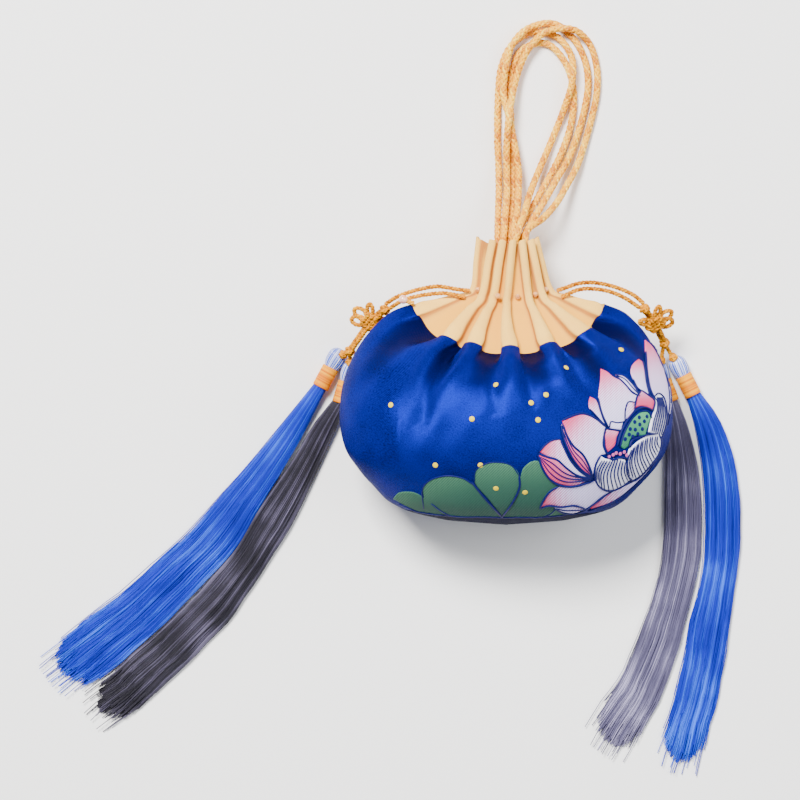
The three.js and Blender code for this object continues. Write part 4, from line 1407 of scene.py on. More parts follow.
PETALS = (
    Patch("petal_tall_right", Finish.PETAL, 3, (645, 341), (660, 405), (
        ((644.5, 339), (645, 352), (646.5, 370), (649.5, 388)),
        ((654, 398), (662, 402), (666, 416), (664, 430)),
        ((661, 438), (667.5, 423), (669.5, 406), (668.5, 389), (664, 371), (658, 356), (652, 346)),
    )),
    Patch("petal_narrow_upper", Finish.PETAL, 2, (638.5, 360), (642, 388), (
        ((638.5, 359), (633, 364), (630.5, 371), (633, 379.5), (637, 388)),
        ((641, 391),),
        ((649, 395), (646, 383), (644.5, 371), (642.5, 362)),
    )),
    Patch("petal_upper", Finish.PETAL, 2, (602, 372), (620, 412), (
        ((600.5, 368.5), (607, 371.5), (613, 376.5), (620, 380), (626, 386), (632, 393)),
        ((638, 396), (634, 404), (626, 419)),
        ((617, 427),),
        ((607.5, 426.5), (602, 415), (598.5, 404), (598.5, 393), (600, 381)),
    )),
    Patch("petal_sliver", Finish.PETAL, 3, (590, 398), (601, 420), (
        ((590, 396.5), (596, 400), (600, 411), (603, 420)),
        ((606, 426.5), (597, 417), (589.5, 409), (588.5, 402)),
    )),
    Patch("petal_middle", Finish.PETAL, 4, (566, 423), (596, 450), (
        ((562, 420.5), (571, 416.5), (582, 413.7), (593.5, 417.5)),
        ((605.5, 427), (603.5, 436), (603, 446)),
        ((606, 454), (600.5, 455.5), (595.5, 465)),
        ((592.5, 476.5), (589, 466), (583, 454.5), (572.5, 445), (566, 434)),
    )),
    Patch("petal_left", Finish.PETAL, 4, (541, 452), (575, 464), (
        ((539, 452), (545, 445), (552, 440.3)),
        ((560, 439), (564.5, 449), (570.5, 460.5), (580, 471)),
        ((591, 478), (575, 474.5), (565, 467), (557, 459.3), (548, 456.5)),
    )),
    Patch("petal_low", Finish.PETAL, 3, (543, 503), (580, 492), (
        ((539.5, 508), (544, 499), (550, 491), (558.5, 486), (576, 485.5)),
        ((594, 481), (602, 487)),
        ((614, 489.5), (601, 497), (592.5, 504)),
        ((585.5, 508.7), (575, 505), (561, 506.3), (548, 505)),
    )),
    Patch("petal_low_right", Finish.PETAL, 2, (592, 508), (636, 484), (
        ((587.5, 510), (600.5, 500.5), (614, 490), (628, 483), (642, 474.5)),
        ((656, 455), (650, 468), (639, 480), (627, 491), (611, 502)),
    )),
    Patch("petal_behind_pod", Finish.PETAL, 4, (643, 402), (646, 372), (
        ((641, 390.5), (637, 397)),
        ((634, 408.5), (642, 406)),
        ((652.5, 410), (654, 401), (648, 395.5)),
    )),
    Patch("petal_left_of_pod", Finish.PETAL, 4, (612, 441), (612, 405), (
        ((606, 429.5), (612, 430)),
        ((619, 431.5), (616.5, 438), (615, 445)),
        ((608, 452), (604.5, 445), (604, 437)),
    )),
    Patch("petal_scrap_upper", Finish.PETAL, 5, (640, 402), (620, 406), (
        ((628, 402),),
        ((634.5, 402.5), (633.5, 411)),
        ((627, 419), (624, 417), (625, 409)),
    )),
    Patch("petal_scrap_lower", Finish.PETAL, 5, (590, 430), (610, 424), (
        ((610.5, 421.7), (617, 422.7)),
        ((623, 422),),
        ((621, 430), (609, 427.5)),
    )),
    Patch("stamens_left", Finish.PALE_THREAD, 5, (610, 460), (610, 490), (
        ((600, 455.5), (607, 459), (616, 458)),
        ((625, 459.5), (628, 470)),
        ((629.5, 480), (618, 488), (607, 490), (598, 485), (594.5, 474), (595.5, 464)),
    )),
    Patch("stamens_right", Finish.PALE_THREAD, 5, (640, 440), (650, 470), (
        ((628.5, 449.5), (638, 441), (648, 435.5)),
        ((658, 434), (660.5, 441), (658, 453), (650.5, 464), (641, 474.5)),
        ((632.5, 480), (627, 474), (626, 463)),
    )),
    Patch("stamens_upper", Finish.PALE_THREAD, 5, (658, 395), (658, 435), (
        ((653.5, 397), (657.5, 393.5), (662.5, 397), (665.5, 407), (666, 418), (664, 429)),
        ((660.5, 438), (654, 434)),
        ((648, 432), (650.5, 420), (654, 409)),
    )),
    Patch("pod", Finish.POD, 6, (640, 412), (624, 446), (
        ((620, 446.5), (623, 435.5), (628, 425), (634, 416.5), (641, 412), (648, 412.5)),
        ((650.5, 418), (647, 428.5), (644.5, 435.5), (636, 436), (630.5, 439)),
        ((628.5, 446), (624, 449)),
    )),
)

CURLS = (
    Patch("curl_petal_left", Finish.PETAL, 5, (552, 470), (600, 440), (
        ((538, 454.5), (548, 457.5), (557, 460), (566, 468), (577, 475.5)),
        ((592, 479), (573, 485.5), (560, 484), (549.5, 478), (542.5, 467.5)),
    )),
    Patch("curl_petal_middle", Finish.PETAL, 5, (571, 455), (600, 430), (
        ((561.5, 423), (566, 435), (572.5, 446), (582.5, 455.5), (588.5, 467)),
        ((592, 476.5), (581, 470), (573, 460.5), (567, 449), (563, 437)),
    )),
    Patch("curl_petal_upper", Finish.PETAL, 4, (600, 360), (625, 384), (
        ((614.5, 374.5), (623, 376), (630, 382), (636, 390)),
        ((638.5, 396), (631, 391), (624, 382)),
    )),
    Patch("curl_petal_tall", Finish.PETAL, 4, (640, 340), (668, 380), (
        ((652.5, 344.5), (659, 350), (664.5, 358), (669, 372), (671, 390), (671, 408)),
        ((667.5, 424), (669.3, 406), (668.3, 389), (663.5, 371), (658, 356)),
    )),
    Patch("curl_petal_low", Finish.PETAL, 4, (600, 500), (566, 509), (
        ((552, 506.5), (566, 505.5)),
        ((586, 508.7), (573, 513), (562, 511.5)),
    )),
)

STROKES = (
    Stroke("leaf_left_vein", 4, 1.3, ((431.5, 503), (443, 511.5), (459, 518.5))),
    Stroke("leaf_right_vein", 4, 1.2, ((542.5, 516.5), (550, 513.5), (556, 508))),
    Stroke("leaf_gap_left", 5, 1.9, ((472, 482), (486, 499), (502, 516.5))),
    Stroke("leaf_gap_right", 5, 1.9, ((519, 475), (519.5, 487), (512, 503), (502, 516.5))),
    Stroke("leaf_middle_rim", 5, 0.9, (
        (474.5, 482), (476, 470), (486, 463.5), (497.5, 462), (511, 465), (519, 475))),
    Stroke("leaf_left_rim", 4, 0.9, (
        (424, 509), (423, 488), (430, 480), (446, 475.5), (463, 478), (473, 484))),
    Stroke("leaf_base_line", 5, 1.6, (
        (400, 503.5), (424, 513.5), (457, 519.5), (502, 518.5), (538, 518.5), (566, 514))),
    Stroke("pod_rim", 7, 1.7, ((617, 446), (620, 434), (627, 420), (636, 410), (645, 407.5), (653, 411))),
    Stroke("pod_rim_inner", 7, 1.2, (
        (619.5, 447), (623, 435), (628, 424.5), (634, 416), (641, 411.5), (648, 412), (651, 418))),
    Stroke("petal_tall_left", 6, 1.7, ((645.5, 352), (646.5, 370), (649.5, 388), (654, 398), (658, 403))),
    Stroke("petal_tall_edge", 6, 1.5, (
        (650, 343), (657, 353), (663, 368), (667.5, 386), (668.8, 405), (666, 422), (661, 438))),
    Stroke("petal_tall_curl", 6, 1.1, (
        (654, 345), (662, 354), (668, 370), (670.5, 389), (670.7, 408), (667, 425))),
    Stroke("petal_narrow_left", 6, 1.3, ((633, 379.5), (637, 388), (641, 391))),
    Stroke("petal_narrow_right", 6, 1.5, ((642.5, 362), (644.5, 371), (646, 383), (649, 395))),
    Stroke("petal_upper_curl_out", 6, 1.5, (
        (614.5, 374.5), (623, 376), (630, 382), (636, 390), (639, 396.5))),
    Stroke("petal_upper_edge", 6, 1.6, ((612.5, 376), (620, 380), (626, 386), (631.5, 392), (638, 396))),
    Stroke("petal_upper_left", 6, 1.6, ((598, 398), (600, 408), (603.5, 418), (608, 427))),
    Stroke("petal_sliver_low", 6, 1.4, ((589.5, 409), (597, 417), (606, 427))),
    Stroke("petal_middle_top", 7, 2, (
        (562, 420.5), (571, 416.5), (582, 413.7), (593.5, 417.5), (605.5, 427))),
    Stroke("petal_middle_right", 7, 1.7, ((605.5, 427), (603.5, 436), (603, 446), (607, 455))),
    Stroke("petal_middle_fold", 7, 2, (
        (562.5, 424), (566.5, 435), (573, 445.5), (583, 455), (589, 466), (592.5, 477))),
    Stroke("petal_middle_low", 7, 2, (
        (561, 425), (563.5, 438), (568, 449.5), (574, 460.5), (582, 470), (592, 477))),
    Stroke("petal_left_top", 7, 1.3, ((539, 452), (545, 445), (552, 440.3), (560, 439))),
    Stroke("petal_left_right", 7, 1.9, ((560, 439), (564.5, 449), (570.5, 460.5), (580, 471), (591, 478))),
    Stroke("petal_left_fold", 7, 2, (
        (538.5, 453.5), (548, 457), (557, 459.7), (566, 467.5), (577, 475), (592, 478.5))),
    Stroke("petal_left_low", 7, 2.2, (
        (538, 454.5), (542.5, 468), (549.5, 478.5), (560, 485), (574, 486), (593, 480.5))),
    Stroke("petal_low_left", 6, 1.9, ((539.5, 508), (544, 499), (550, 491), (558.5, 486))),
    Stroke("petal_low_edge", 6, 2, ((539.5, 508), (548, 505.3), (561, 506.5), (575, 505.2), (586, 508.7))),
    Stroke("petal_low_right", 6, 2, ((586, 508.7), (592.5, 504), (601, 497), (614, 489.5), (632, 481))),
    Stroke("petal_low_curl", 6, 1.3, ((554, 507.5), (562, 512), (573, 513.3), (586, 509.3))),
    Stroke("petal_low_right_edge", 6, 1.4, (
        (588, 510.5), (606, 504), (620, 496.5), (633, 486), (648, 470.5), (657, 455.5))),
    Stroke("petal_pod_left", 7, 1.5, ((640.7, 390.5), (636.5, 397), (634, 408.5))),
    Stroke("petal_pod_right", 7, 1.5, ((641, 390.5), (648, 395.5), (654, 401), (652.5, 410))),
    Stroke("scrap_upper", 7, 1.2, ((634.5, 402.5), (628, 402), (625, 409), (624.3, 420))),
    Stroke("scrap_lower", 7, 1.2, ((609, 427.5), (610.5, 421.7), (617, 422.7), (624, 421.5))),
    Stroke("scrap_line", 7, 1.4, ((605, 428.5), (612, 429.5), (620, 431))),
    Stroke("petal_pod_low", 7, 1.8, ((604, 437), (604.5, 447), (608, 456))),
    Stroke("stamens_left_rim", 8, 1.8, (
        (600, 455.5), (595.5, 464), (594.5, 474), (598, 485), (607, 490.3), (618, 488), (629.5, 480.5))),
    Stroke("stamens_right_rim", 8, 1.7, (
        (626, 463), (627, 474), (632.5, 480.3), (641, 474.8), (650.5, 464), (658, 453), (660.5, 441),
        (658, 434))),
    Stroke("stamens_upper_rim", 8, 1.5, (
        (653.5, 397), (657.5, 393.5), (662.5, 397), (665.5, 407), (666, 418), (664, 429), (660.5, 438))),
    Stroke("anther_line", 8, 1.8, ((606, 456), (613, 459.5), (620, 457), (628, 458.5))),
    Stroke("pod_low_rim", 8, 1.6, ((628.5, 447), (632, 440), (640, 436.5), (648, 434.5), (657, 433.5))),
)

FANS = (
    Fan("stamens_left", 9, 10, 1.15,
        ((600, 460), (609, 460), (618, 459), (626, 462)),
        ((595.5, 477), (604, 489), (617, 488), (629, 479))),
    Fan("stamens_right", 9, 13, 1.15,
        ((630, 450), (638, 442.5), (648, 437), (658, 436)),
        ((627, 474), (637, 478), (650, 464), (659, 446))),
    Fan("stamens_upper", 9, 6, 1.1,
        ((655.5, 397.5), (655.5, 409), (652, 420), (650, 431)),
        ((661.5, 397.5), (665, 410), (664.5, 422), (661, 435)), along=True),
    Fan("curl_left", 8, 3, 1.2,
        ((540, 456), (553, 461), (566, 471), (590, 479)),
        ((540, 459), (549.5, 475), (563, 482.5), (590, 480)), along=True),
    Fan("curl_middle", 8, 2, 1.2,
        ((563, 427), (574, 449), (584, 459), (591, 474)),
        ((562.5, 432), (569.5, 450.5), (579, 465), (591, 475)), along=True),
    Fan("curl_upper", 8, 1, 1,
        ((616, 375.5), (624, 378), (631, 385), (637, 393)),
        ((616, 376), (624, 381), (630, 388), (637, 394.5)), along=True),
    Fan("curl_low", 8, 1, 1,
        ((556, 507), (566, 507.5), (575, 507.5), (585, 509)),
        ((556, 508.5), (564, 511.5), (573, 511.5), (585, 509)), along=True),
)

SEEDS = (
    (638.5, 417.5), (643.5, 421.3), (634, 422), (639, 424.5), (629.5, 429), (634.5, 429.5),
    (641.5, 429), (637, 433.8), (628.5, 434.5), (624.5, 439), (632, 436.5), (646, 416.5),
)

ANTHERS = ((608.5, 456.5), (612.5, 454.5), (615.5, 452.8), (619.5, 453.5), (623.5, 451.8), (626, 454.8))

GOLD_DOTS = (
    (391, 405), (472, 419), (435.5, 465), (480.5, 465), (496, 385), (531, 403), (546, 395),
    (538, 420), (566, 368), (621, 350), (496, 488), (525, 492),
)

# The section of one raised thread, seen along it: across in half widths, and up.
THREAD_SECTION = ((-1, -0.5), (-0.55, 1.0), (0.55, 1.0), (1, -0.5), (0, -1.2))


@dataclass
class LotusMotif:
    """The woven lotus on the belly: patches and lines of raised thread that follow the cloth."""

    belly: BVHTree
    trees: Trees
    effects: SharedEffects
    drawing: Drawing = field(default_factory=Drawing)
    relief: float = 0.22 * MM
    layer_rise: float = 0.06 * MM
    sunk: float = 0.25 * MM
    line_width: float = 1.45
    bevel: float = 0.7
    shelf_gap: float = 0.595
    inside_gap: float = 1.12
    fill_step: float = 2.0
    edge_step: float = 1.2
    fan_step: float = 0.5
    fan_spots: int = 24
    fan_bow: float = 0.12
    centre: Spot = (506.0, 430.0)
    steepest: float = 0.22
    inward_share: float = 0.005
    inward_tries: int = 12

    def build(self) -> None:
        """Makes each kind of thread of the motif."""
        for name, patches in (("lotus_leaves", LEAVES), ("lotus_petals", PETALS), ("lotus_curls", CURLS)):
            self.patches(name, patches)
        self.lines("lotus_outlines")
        self.dots("pod_seeds", SEEDS, Finish.OUTLINE, 1.0 * MM, 8)
        self.dots("anthers", ANTHERS, Finish.PETAL, 0.9 * MM, 9)
        self.dots("gold_dots", GOLD_DOTS, Finish.DOT, 1.35 * MM, 2)

    def rise(self, layer: int) -> float:
        """How high thread stands over the cloth with some parts of the motif under it."""
        return self.relief + layer * self.layer_rise

    def on_cloth(self, spot: Sequence[float]) -> tuple[Vector, Vector]:
        """The place on the cloth that a spot of the drawing covers, and the way it faces.

        A spot that misses the cloth, or meets it where it is too steep, is drawn inward.
        """
        spot = np.array(spot, float)
        for _ in range(self.inward_tries):
            eye, way = self.drawing.ray(spot)
            place, facing, _, _ = self.belly.ray_cast(eye, way)
            if place is not None and abs(facing.dot(way)) > self.steepest:
                break
            spot += (self.centre - spot) * self.inward_share
        else:
            far = (self.drawing.plane - eye.z) / way.z
            place, facing, _, _ = self.belly.find_nearest(eye + way * far)
        return place, facing if facing.dot(way) < 0 else -facing

    def ground(self, spots: Sequence[Spot] | np.ndarray) -> tuple[np.ndarray, np.ndarray]:
        """The places on the cloth that some spots cover, and the ways it faces, one row each."""
        found = [self.on_cloth(spot) for spot in spots]
        return np.array([place for place, _ in found]), np.array([facing for _, facing in found])

    def outline(self, edges: tuple[Edge, ...]) -> np.ndarray:
        """The closed line of a patch, as spots of the drawing."""
        following = (*edges[1:], edges[0])
        ends = [(*edge, ahead[0]) for edge, ahead in zip(edges, following)]
        return np.vstack([smooth_path(edge, self.edge_step)[:-1] for edge in ends])

    def patches(self, name: str, patches: Sequence[Patch]) -> None:
        """Makes one piece of some patches, each with its own thread."""
        finishes = list({patch.finish: None for patch in patches})
        parts, places, kinds = MeshParts(), [], []
        for patch in patches:
            spots, triangles, rim = self.filled(patch)
            way = np.subtract(patch.root, patch.tip)
            values = {"fade": (spots - patch.tip) @ way / (way @ way), "shade": 0.6}
            ground, facing = self.ground(spots)
            lifts = np.full((len(spots), 1), self.rise(patch.layer))
            lifts[:rim] = 0
            upper = parts.add(ground + facing * lifts, **values)
            lower = parts.add(ground - facing * self.sunk, **values)
            places += [spots * self.drawing.square] * 2
            for a, b, c in triangles:
                parts.faces.append((upper + a, upper + b, upper + c))
                parts.faces.append((lower + c, lower + b, lower + a))
            for k in range(rim):
                m = (k + 1) % rim
                parts.faces.append((upper + m, upper + k, lower + k, lower + m))
            kinds += [finishes.index(patch.finish)] * (len(parts.faces) - len(kinds))
        mesh = parts.mesh(name)
        cloth_uv(mesh, np.vstack(places))
        piece = shown(name, faced_out(mesh), *[finish.made(self.effects) for finish in finishes])
        mesh.polygons.foreach_set("material_index", kinds)
        placed(piece, "brocade")

    def filled(self, patch: Patch) -> tuple[np.ndarray, list[tuple[int, ...]], int]:
        """Fills a patch with triangles.

        Args:
            patch: The patch.

        Returns:
            Its spots, with those of its rim first, its triangles, and how many spots its rim has.
        """
        rim = self.outline(patch.edges)
        ahead = np.roll(rim, -1, axis=0)
        if (rim[:, 0] * ahead[:, 1] - rim[:, 1] * ahead[:, 0]).sum() < 0:
            rim = rim[::-1]
            ahead = np.roll(rim, -1, axis=0)
        ends = zip(rim.min(axis=0), rim.max(axis=0))
        rows = [np.arange(low, high, self.fill_step) for low, high in ends]
        inside = np.stack(np.meshgrid(*rows), axis=-1).reshape(-1, 2)
        chord = unit(ahead - np.roll(rim, 1, axis=0))
        shelf = rim + self.bevel * np.stack([-chord[:, 1], chord[:, 0]], axis=1)
        extra = np.vstack([shelf, inside])
        least = np.repeat([self.shelf_gap, self.inside_gap], [len(shelf), len(inside)])
        wanted = (self.gap_to_rim(extra, rim, ahead) > least) & self.enclosed(extra, rim, ahead)
        spots = np.vstack([rim, extra[wanted]])
        given, loop = [Vector(spot) for spot in spots], [list(range(len(rim)))]
        made, _, triangles, sources, _, _ = delaunay_2d_cdt(given, [], loop, 1, 1e-6)
        new = [spot for spot, source in zip(made, sources) if not source]
        numbers = iter(range(len(spots), len(spots) + len(new)))
        index = [source[0] if source else next(numbers) for source in sources]
        faces = [tuple(index[corner] for corner in face) for face in triangles]
        return np.vstack([spots, *new]), faces, len(rim)

    def gap_to_rim(self, spots: np.ndarray, rim: np.ndarray, ahead: np.ndarray) -> np.ndarray:
        """How far each spot is from the rim, in squares."""
        way = ahead - rim
        size = np.maximum((way**2).sum(axis=1), TINY)
        offset = spots[:, None, :] - rim[None, :, :]
        place = np.clip((offset * way).sum(axis=2) / size, 0, 1)
        return np.linalg.norm(offset - place[..., None] * way, axis=2).min(axis=1)

    def enclosed(self, spots: np.ndarray, rim: np.ndarray, ahead: np.ndarray) -> np.ndarray:
        """Whether each spot lies inside the rim."""
        x, y = spots[:, 0:1], spots[:, 1:2]
        spans = (rim[:, 1] > y) != (ahead[:, 1] > y)
        rise = np.where(ahead[:, 1] == rim[:, 1], TINY, ahead[:, 1] - rim[:, 1])
        crossing = (ahead[:, 0] - rim[:, 0]) * (y - rim[:, 1]) / rise + rim[:, 0]
        return ((spans & (x < crossing)).sum(axis=1) % 2) == 1

    def lines(self, name: str) -> None:
        """Makes the outline threads: raised ribbons along the strokes and the fans."""
        parts = MeshParts()
        for stroke in STROKES:
            self.ribbon(parts, smooth_path(stroke.spots, self.edge_step), stroke.layer, stroke.width)
        for fan in FANS:
            for k in range(fan.count):
                self.ribbon(parts, self.fan_line(fan, (k + 0.5) / fan.count), fan.layer, fan.width)
        mesh = faced_out(parts.mesh(name))
        placed(shown(name, mesh, Finish.OUTLINE.made(self.effects)), "brocade")

    def fan_line(self, fan: Fan, share: float) -> np.ndarray:
        """One line of a fan, at a share of the way through it."""
        first, second = (smooth_path(edge, self.fan_step) for edge in (fan.first, fan.second))
        if fan.along:
            rows = [np.linspace(0, len(line) - 1, self.fan_spots).astype(int) for line in (first, second)]
            low, high = first[rows[0]], second[rows[1]]
            return low + (high - low) * share
        start, end = (line[round(share * (len(line) - 1))] for line in (first, second))
        way = end - start
        bow = np.array([-way[1], way[0]]) * self.fan_bow
        return smooth_path((start, (start + end) / 2 + bow, end), self.edge_step)

    def ribbon(self, parts: MeshParts, spots: np.ndarray, layer: int, width: float) -> None:
        """Adds one raised thread along spots of the drawing.

        Args:
            parts: Where the thread is added.
            spots: The spots that it follows.
            layer: How many parts of the motif lie under it.
            width: Its width, in squares of the drawing.
        """
        line, facing = self.ground(spots)
        facing[1:-1] = (facing[:-2] + 2 * facing[1:-1] + facing[2:]) / 4
        side = unit(np.cross(facing, unit(np.gradient(line, axis=0))))
        steps = np.arange(len(line))
        taper = np.clip(np.minimum(steps, steps[::-1]) / 2.5, 0.25, 1) ** 0.6
        half = self.line_width * width * self.drawing.square / 2 * taper
        columns = []
        for across, up in THREAD_SECTION:
            lift = self.rise(layer) + up * self.relief if up > 0 else up * self.sunk
            columns.append(line + side * (across * half)[:, None] + facing * lift)
        parts.body(np.stack(columns, axis=1), shade=0.5)

    def dots(self, name: str, spots: Sequence[Spot], finish: Finish, radius: float, layer: int) -> None:
        """Makes small raised dots on the cloth, one at each spot."""
        ground, facing = self.ground(spots)
        parts = MeshParts()
        parts.add(ground + facing * self.rise(layer))
        mesh = parts.mesh(name)
        facings = mesh.attributes.new("facing", "FLOAT_VECTOR", "POINT")
        facings.data.foreach_set("vector", facing.astype(np.float32).ravel())
        grown = self.trees.knob.grow(mesh, finish.made(self.effects), Dot_Radius=radius)
        shade = grown.attributes.new("shade", "FLOAT", "POINT")
        shade.data.foreach_set("value", np.full(len(grown.vertices), 0.5, np.float32))
        placed(shown(name, grown), "brocade")


# The handle cords in millimetres, from inside the mouth round and back into it. Outside the
# mouth each crossing is one cord over another.
HANDLE_CORDS = (
    (
        (-3, 50, 33), (-2, 62, 29), (-0.5, 74, 25.5), (0.5, 85, 18.5), (1.5, 96, 12), (1.5, 108.5, 8.5),
        (1.5, 121, 9), (2.5, 134, 11), (4.5, 146, 8), (7.5, 158, 5.5), (13, 170, 6), (22, 178.5, 7),
        (35.5, 179.5, 7.5), (44, 173, 3), (48, 160.5, 2), (48, 147.5, 2), (45.5, 135, 2), (42, 122.5, 2.5),
        (38, 110.5, 4.5), (32.5, 100, 8.5), (26.5, 90, 14.5), (19.5, 82, 21.5), (11, 75, 28.5),
        (10.5, 62.5, 31.5), (10, 50, 33),
    ),
    (
        (4.5, 50, 29), (4.5, 62.5, 27.5), (4.5, 75.5, 26), (6.5, 85.5, 18), (7.5, 96.5, 11),
        (7.5, 108.5, 7.5), (5.5, 121.5, 6.5), (3, 134, 6.5), (0, 146.5, 6), (1, 159.5, 7), (4.5, 172, 6.5),
        (13, 180.5, 5.5), (26, 183, 3), (36, 175.5, 2), (42, 164, 2), (43.5, 151.5, 2), (41.5, 138.5, 2),
        (38, 126, 2.5), (33.5, 114, 4), (27.5, 103.5, 7.5), (21.5, 93, 12.5), (15.5, 83, 18.5),
        (10, 73.5, 25), (7, 61.5, 29), (6, 49.5, 32.5),
    ),
    (
        (0, 50, 28.5), (1, 62, 25), (2.5, 74.5, 21.5), (3.5, 84.5, 14), (4.5, 95.5, 7.5), (4.5, 108, 4),
        (4.5, 120.5, 2.5), (4, 133.5, 2), (3.5, 146, 2), (4.5, 159, 2), (10, 170, 2), (22, 173, 2),
        (31, 164.5, 2), (35.5, 152.5, 2), (36, 139.5, 2), (33.5, 127, 2), (29, 115, 2.5), (23.5, 104, 5),
        (17.5, 93.5, 9.5), (12, 84, 15.5), (6.5, 74, 22), (7.5, 61.5, 24.5), (9, 49.5, 28.5),
    ),
    (
        (-4.5, 49.5, 28), (-4, 62, 25), (-3.5, 74.5, 21.5), (-3, 85.5, 14.5), (-2.5, 97, 9),
        (-2.5, 109.5, 4.5), (-3, 122.5, 2.5), (-3, 135.5, 2), (-2.5, 148.5, 2), (-1, 161, 2), (5, 173, 2),
        (16, 179, 2), (28, 176, 2.5), (35, 165.5, 4.5), (35, 152.5, 6.5), (31.5, 140.5, 4),
        (27, 128.5, 2.5), (22, 116.5, 3.5), (17, 105, 7.5), (13, 94.5, 14), (10, 84.5, 22), (6.5, 75, 30),
        (3.5, 63, 32), (2, 50, 33),
    ),
)


@dataclass(frozen=True)
class TasselPlan:
    """Where a tassel lies, in millimetres: its head, and rows of its skirt with x, y and width."""

    head: Spot
    skirt: tuple[Point, ...]


@dataclass(frozen=True)
class SidePlan:
    """One side of the purse in millimetres: two strands, the knots of the chain and two tassels."""

    strands: tuple[tuple[Point, ...], ...]
    button: Point
    square: Point
    lower: Point
    outward: Spot
    tassels: dict[str, TasselPlan]


SIDES = {
    "left": SidePlan(
        strands=(
            ((-18.4, 44.8, 38.7), (-21.5, 45, 40.2), (-25.8, 45.6, 41), (-33.9, 46.8, 41.6),
             (-41.4, 45.8, 41), (-49, 43.8, 39.6), (-55.5, 41.2, 37.8), (-60.2, 38.2, 35.4)),
            ((-20.8, 41.4, 40.8), (-24.5, 42.4, 41.6), (-31.1, 43.4, 41.6), (-39.2, 42.8, 40.8),
             (-46.8, 41.4, 39.8), (-53, 39.2, 38.4), (-58.3, 35.9, 35.6)),
        ),
        button=(-60.8, 35.4, 34.6), square=(-67.9, 29.7, 27), lower=(-78.6, 15, 13.2), outward=(-1, 0.6),
        tassels={
            "blue": TasselPlan((-85.8, 11.5), (
                (-95.3, -6.2, 7), (-112.3, -31.5, 13.5), (-129.7, -56.2, 18), (-147.8, -80, 23),
                (-165.9, -99, 25), (-185, -117, 27), (-208, -135.5, 29), (-230, -152, 29),
            )),
            "grey": TasselPlan((-78.6, 4.6), (
                (-83.7, -11.8, 7), (-92.5, -26, 11.4), (-101.3, -43.4, 13.4), (-114, -65.6, 17),
                (-129.8, -91, 18.4), (-148.8, -116, 21), (-169.3, -137, 22), (-190.5, -156.4, 23),
                (-209, -171, 24),
            )),
        },
    ),
    "right": SidePlan(
        strands=(
            ((25.8, 44.9, 38.4), (28.6, 45.8, 39.6), (31.8, 46.9, 40.6), (35.8, 48.2, 41.4),
             (41.8, 48.8, 41.6), (49.5, 47.9, 41), (57.8, 45.5, 39.4), (64.5, 42.4, 37.4),
             (69.2, 38.6, 35.4)),
            ((27.8, 41.6, 40.9), (31, 43, 41.2), (34.5, 44.6, 41.2), (38.7, 45.6, 41), (46.4, 45.4, 40.4),
             (53, 44, 39.4), (60.4, 40.8, 37.6), (67.3, 36.3, 35.6)),
        ),
        button=(69.8, 35.8, 34.6), square=(75.7, 28.9, 27), lower=(81.6, 19, 14), outward=(1, 0.6),
        tassels={
            "blue": TasselPlan((89.6, 7.5), (
                (97.4, -7.7, 7), (104.8, -22.5, 12.5), (110.8, -46, 17), (112.8, -76, 18.5),
                (110.4, -104, 19), (105.8, -128, 20), (101.2, -152, 21), (95, -176, 22),
                (89.6, -197.5, 24),
            )),
            "grey": TasselPlan((79.8, 5), (
                (86, -11, 7), (89.6, -28, 12.5), (91.8, -50, 17.5), (92.4, -76, 19.5), (89, -104, 18.5),
                (81.5, -130, 20), (71.5, -155, 22), (61, -174, 24), (53, -188, 28),
            )),
        },
    ),
}


@dataclass(frozen=True)
class KnotEar:
    """A loop of the ornamental knot: its far end in the knot's plane, and how wide it opens."""

    name: str
    along: float
    across: float
    opening: float


KNOT_EARS = (
    KnotEar("narrow", -6.6 * MM, 4.6 * MM, 1.5 * MM),
    KnotEar("upper", -0.2 * MM, 7.8 * MM, 2.8 * MM),
    KnotEar("lower", 5.2 * MM, 6 * MM, 2.7 * MM),
    KnotEar("inner", -5.4 * MM, -4.9 * MM, 1.5 * MM),
)

# The shape of a loop, as shares of its reach and of its opening.
EAR_LOOP = ((0.3, -0.5), (0.75, -1), (1.1, -0.8), (1.3, 0), (1.1, 0.8), (0.75, 1), (0.3, 0.5))


@dataclass(frozen=True)
class BraidedCord:
    """A round braided cord: its thickness, its strands, how they cross and how far one turn runs."""

    diameter: float
    strand: float
    cross_lift: float
    lay: float
    strands_each_way: int = 4
    strand_sides: int = 6

    def along(self, tree: BraidTree, lines: Sequence[np.ndarray], material: Material) -> Mesh:
        """The braid along some lines."""
        parts = MeshParts()
        for line in lines:
            parts.line(line)
        return tree.grow(
            parts.mesh("line"),
            material,
            Braid_Radius=(self.diameter - self.strand) / 2 - self.cross_lift,
            Strand_Radius=self.strand / 2,
            Cross_Lift=self.cross_lift,
            Lay_Length=self.lay,
            Strands_Each_Way=self.strands_each_way,
            Strand_Sides=self.strand_sides,
        )

    def declare(self, piece: Object, path: np.ndarray, every: int, **facts: object) -> None:
        """Does nothing with a piece and the middle line of its cord.

        Args:
            piece: The piece. Not used.
            path: The middle line of the cord, from the place where it comes out. Not used.
            every: How many points of the path would make one point of a coarser one. Not used.
        """


@dataclass
class Handles:
    """The two handles: four runs of braided satin cord that come out of the mouth."""

    trees: Trees
    effects: SharedEffects
    cord: BraidedCord = BraidedCord(3.8 * MM, strand=1.5 * MM, cross_lift=0.1 * MM, lay=12 * MM)
    step: float = 0.4 * MM
    declared_every: int = 10

    def build(self) -> None:
        material = Finish.SATIN_CORD.made(self.effects)
        for k, waypoints in enumerate(HANDLE_CORDS, start=1):
            path = smooth_path(metres(waypoints), self.step)
            mesh = self.cord.along(self.trees.braid, [path], material)
            piece = placed(shown(f"satin_handle_cord_{k}", mesh), "satin_cord", f"handle_cord_{k}")
            self.cord.declare(piece, path, self.declared_every, far_end="object")


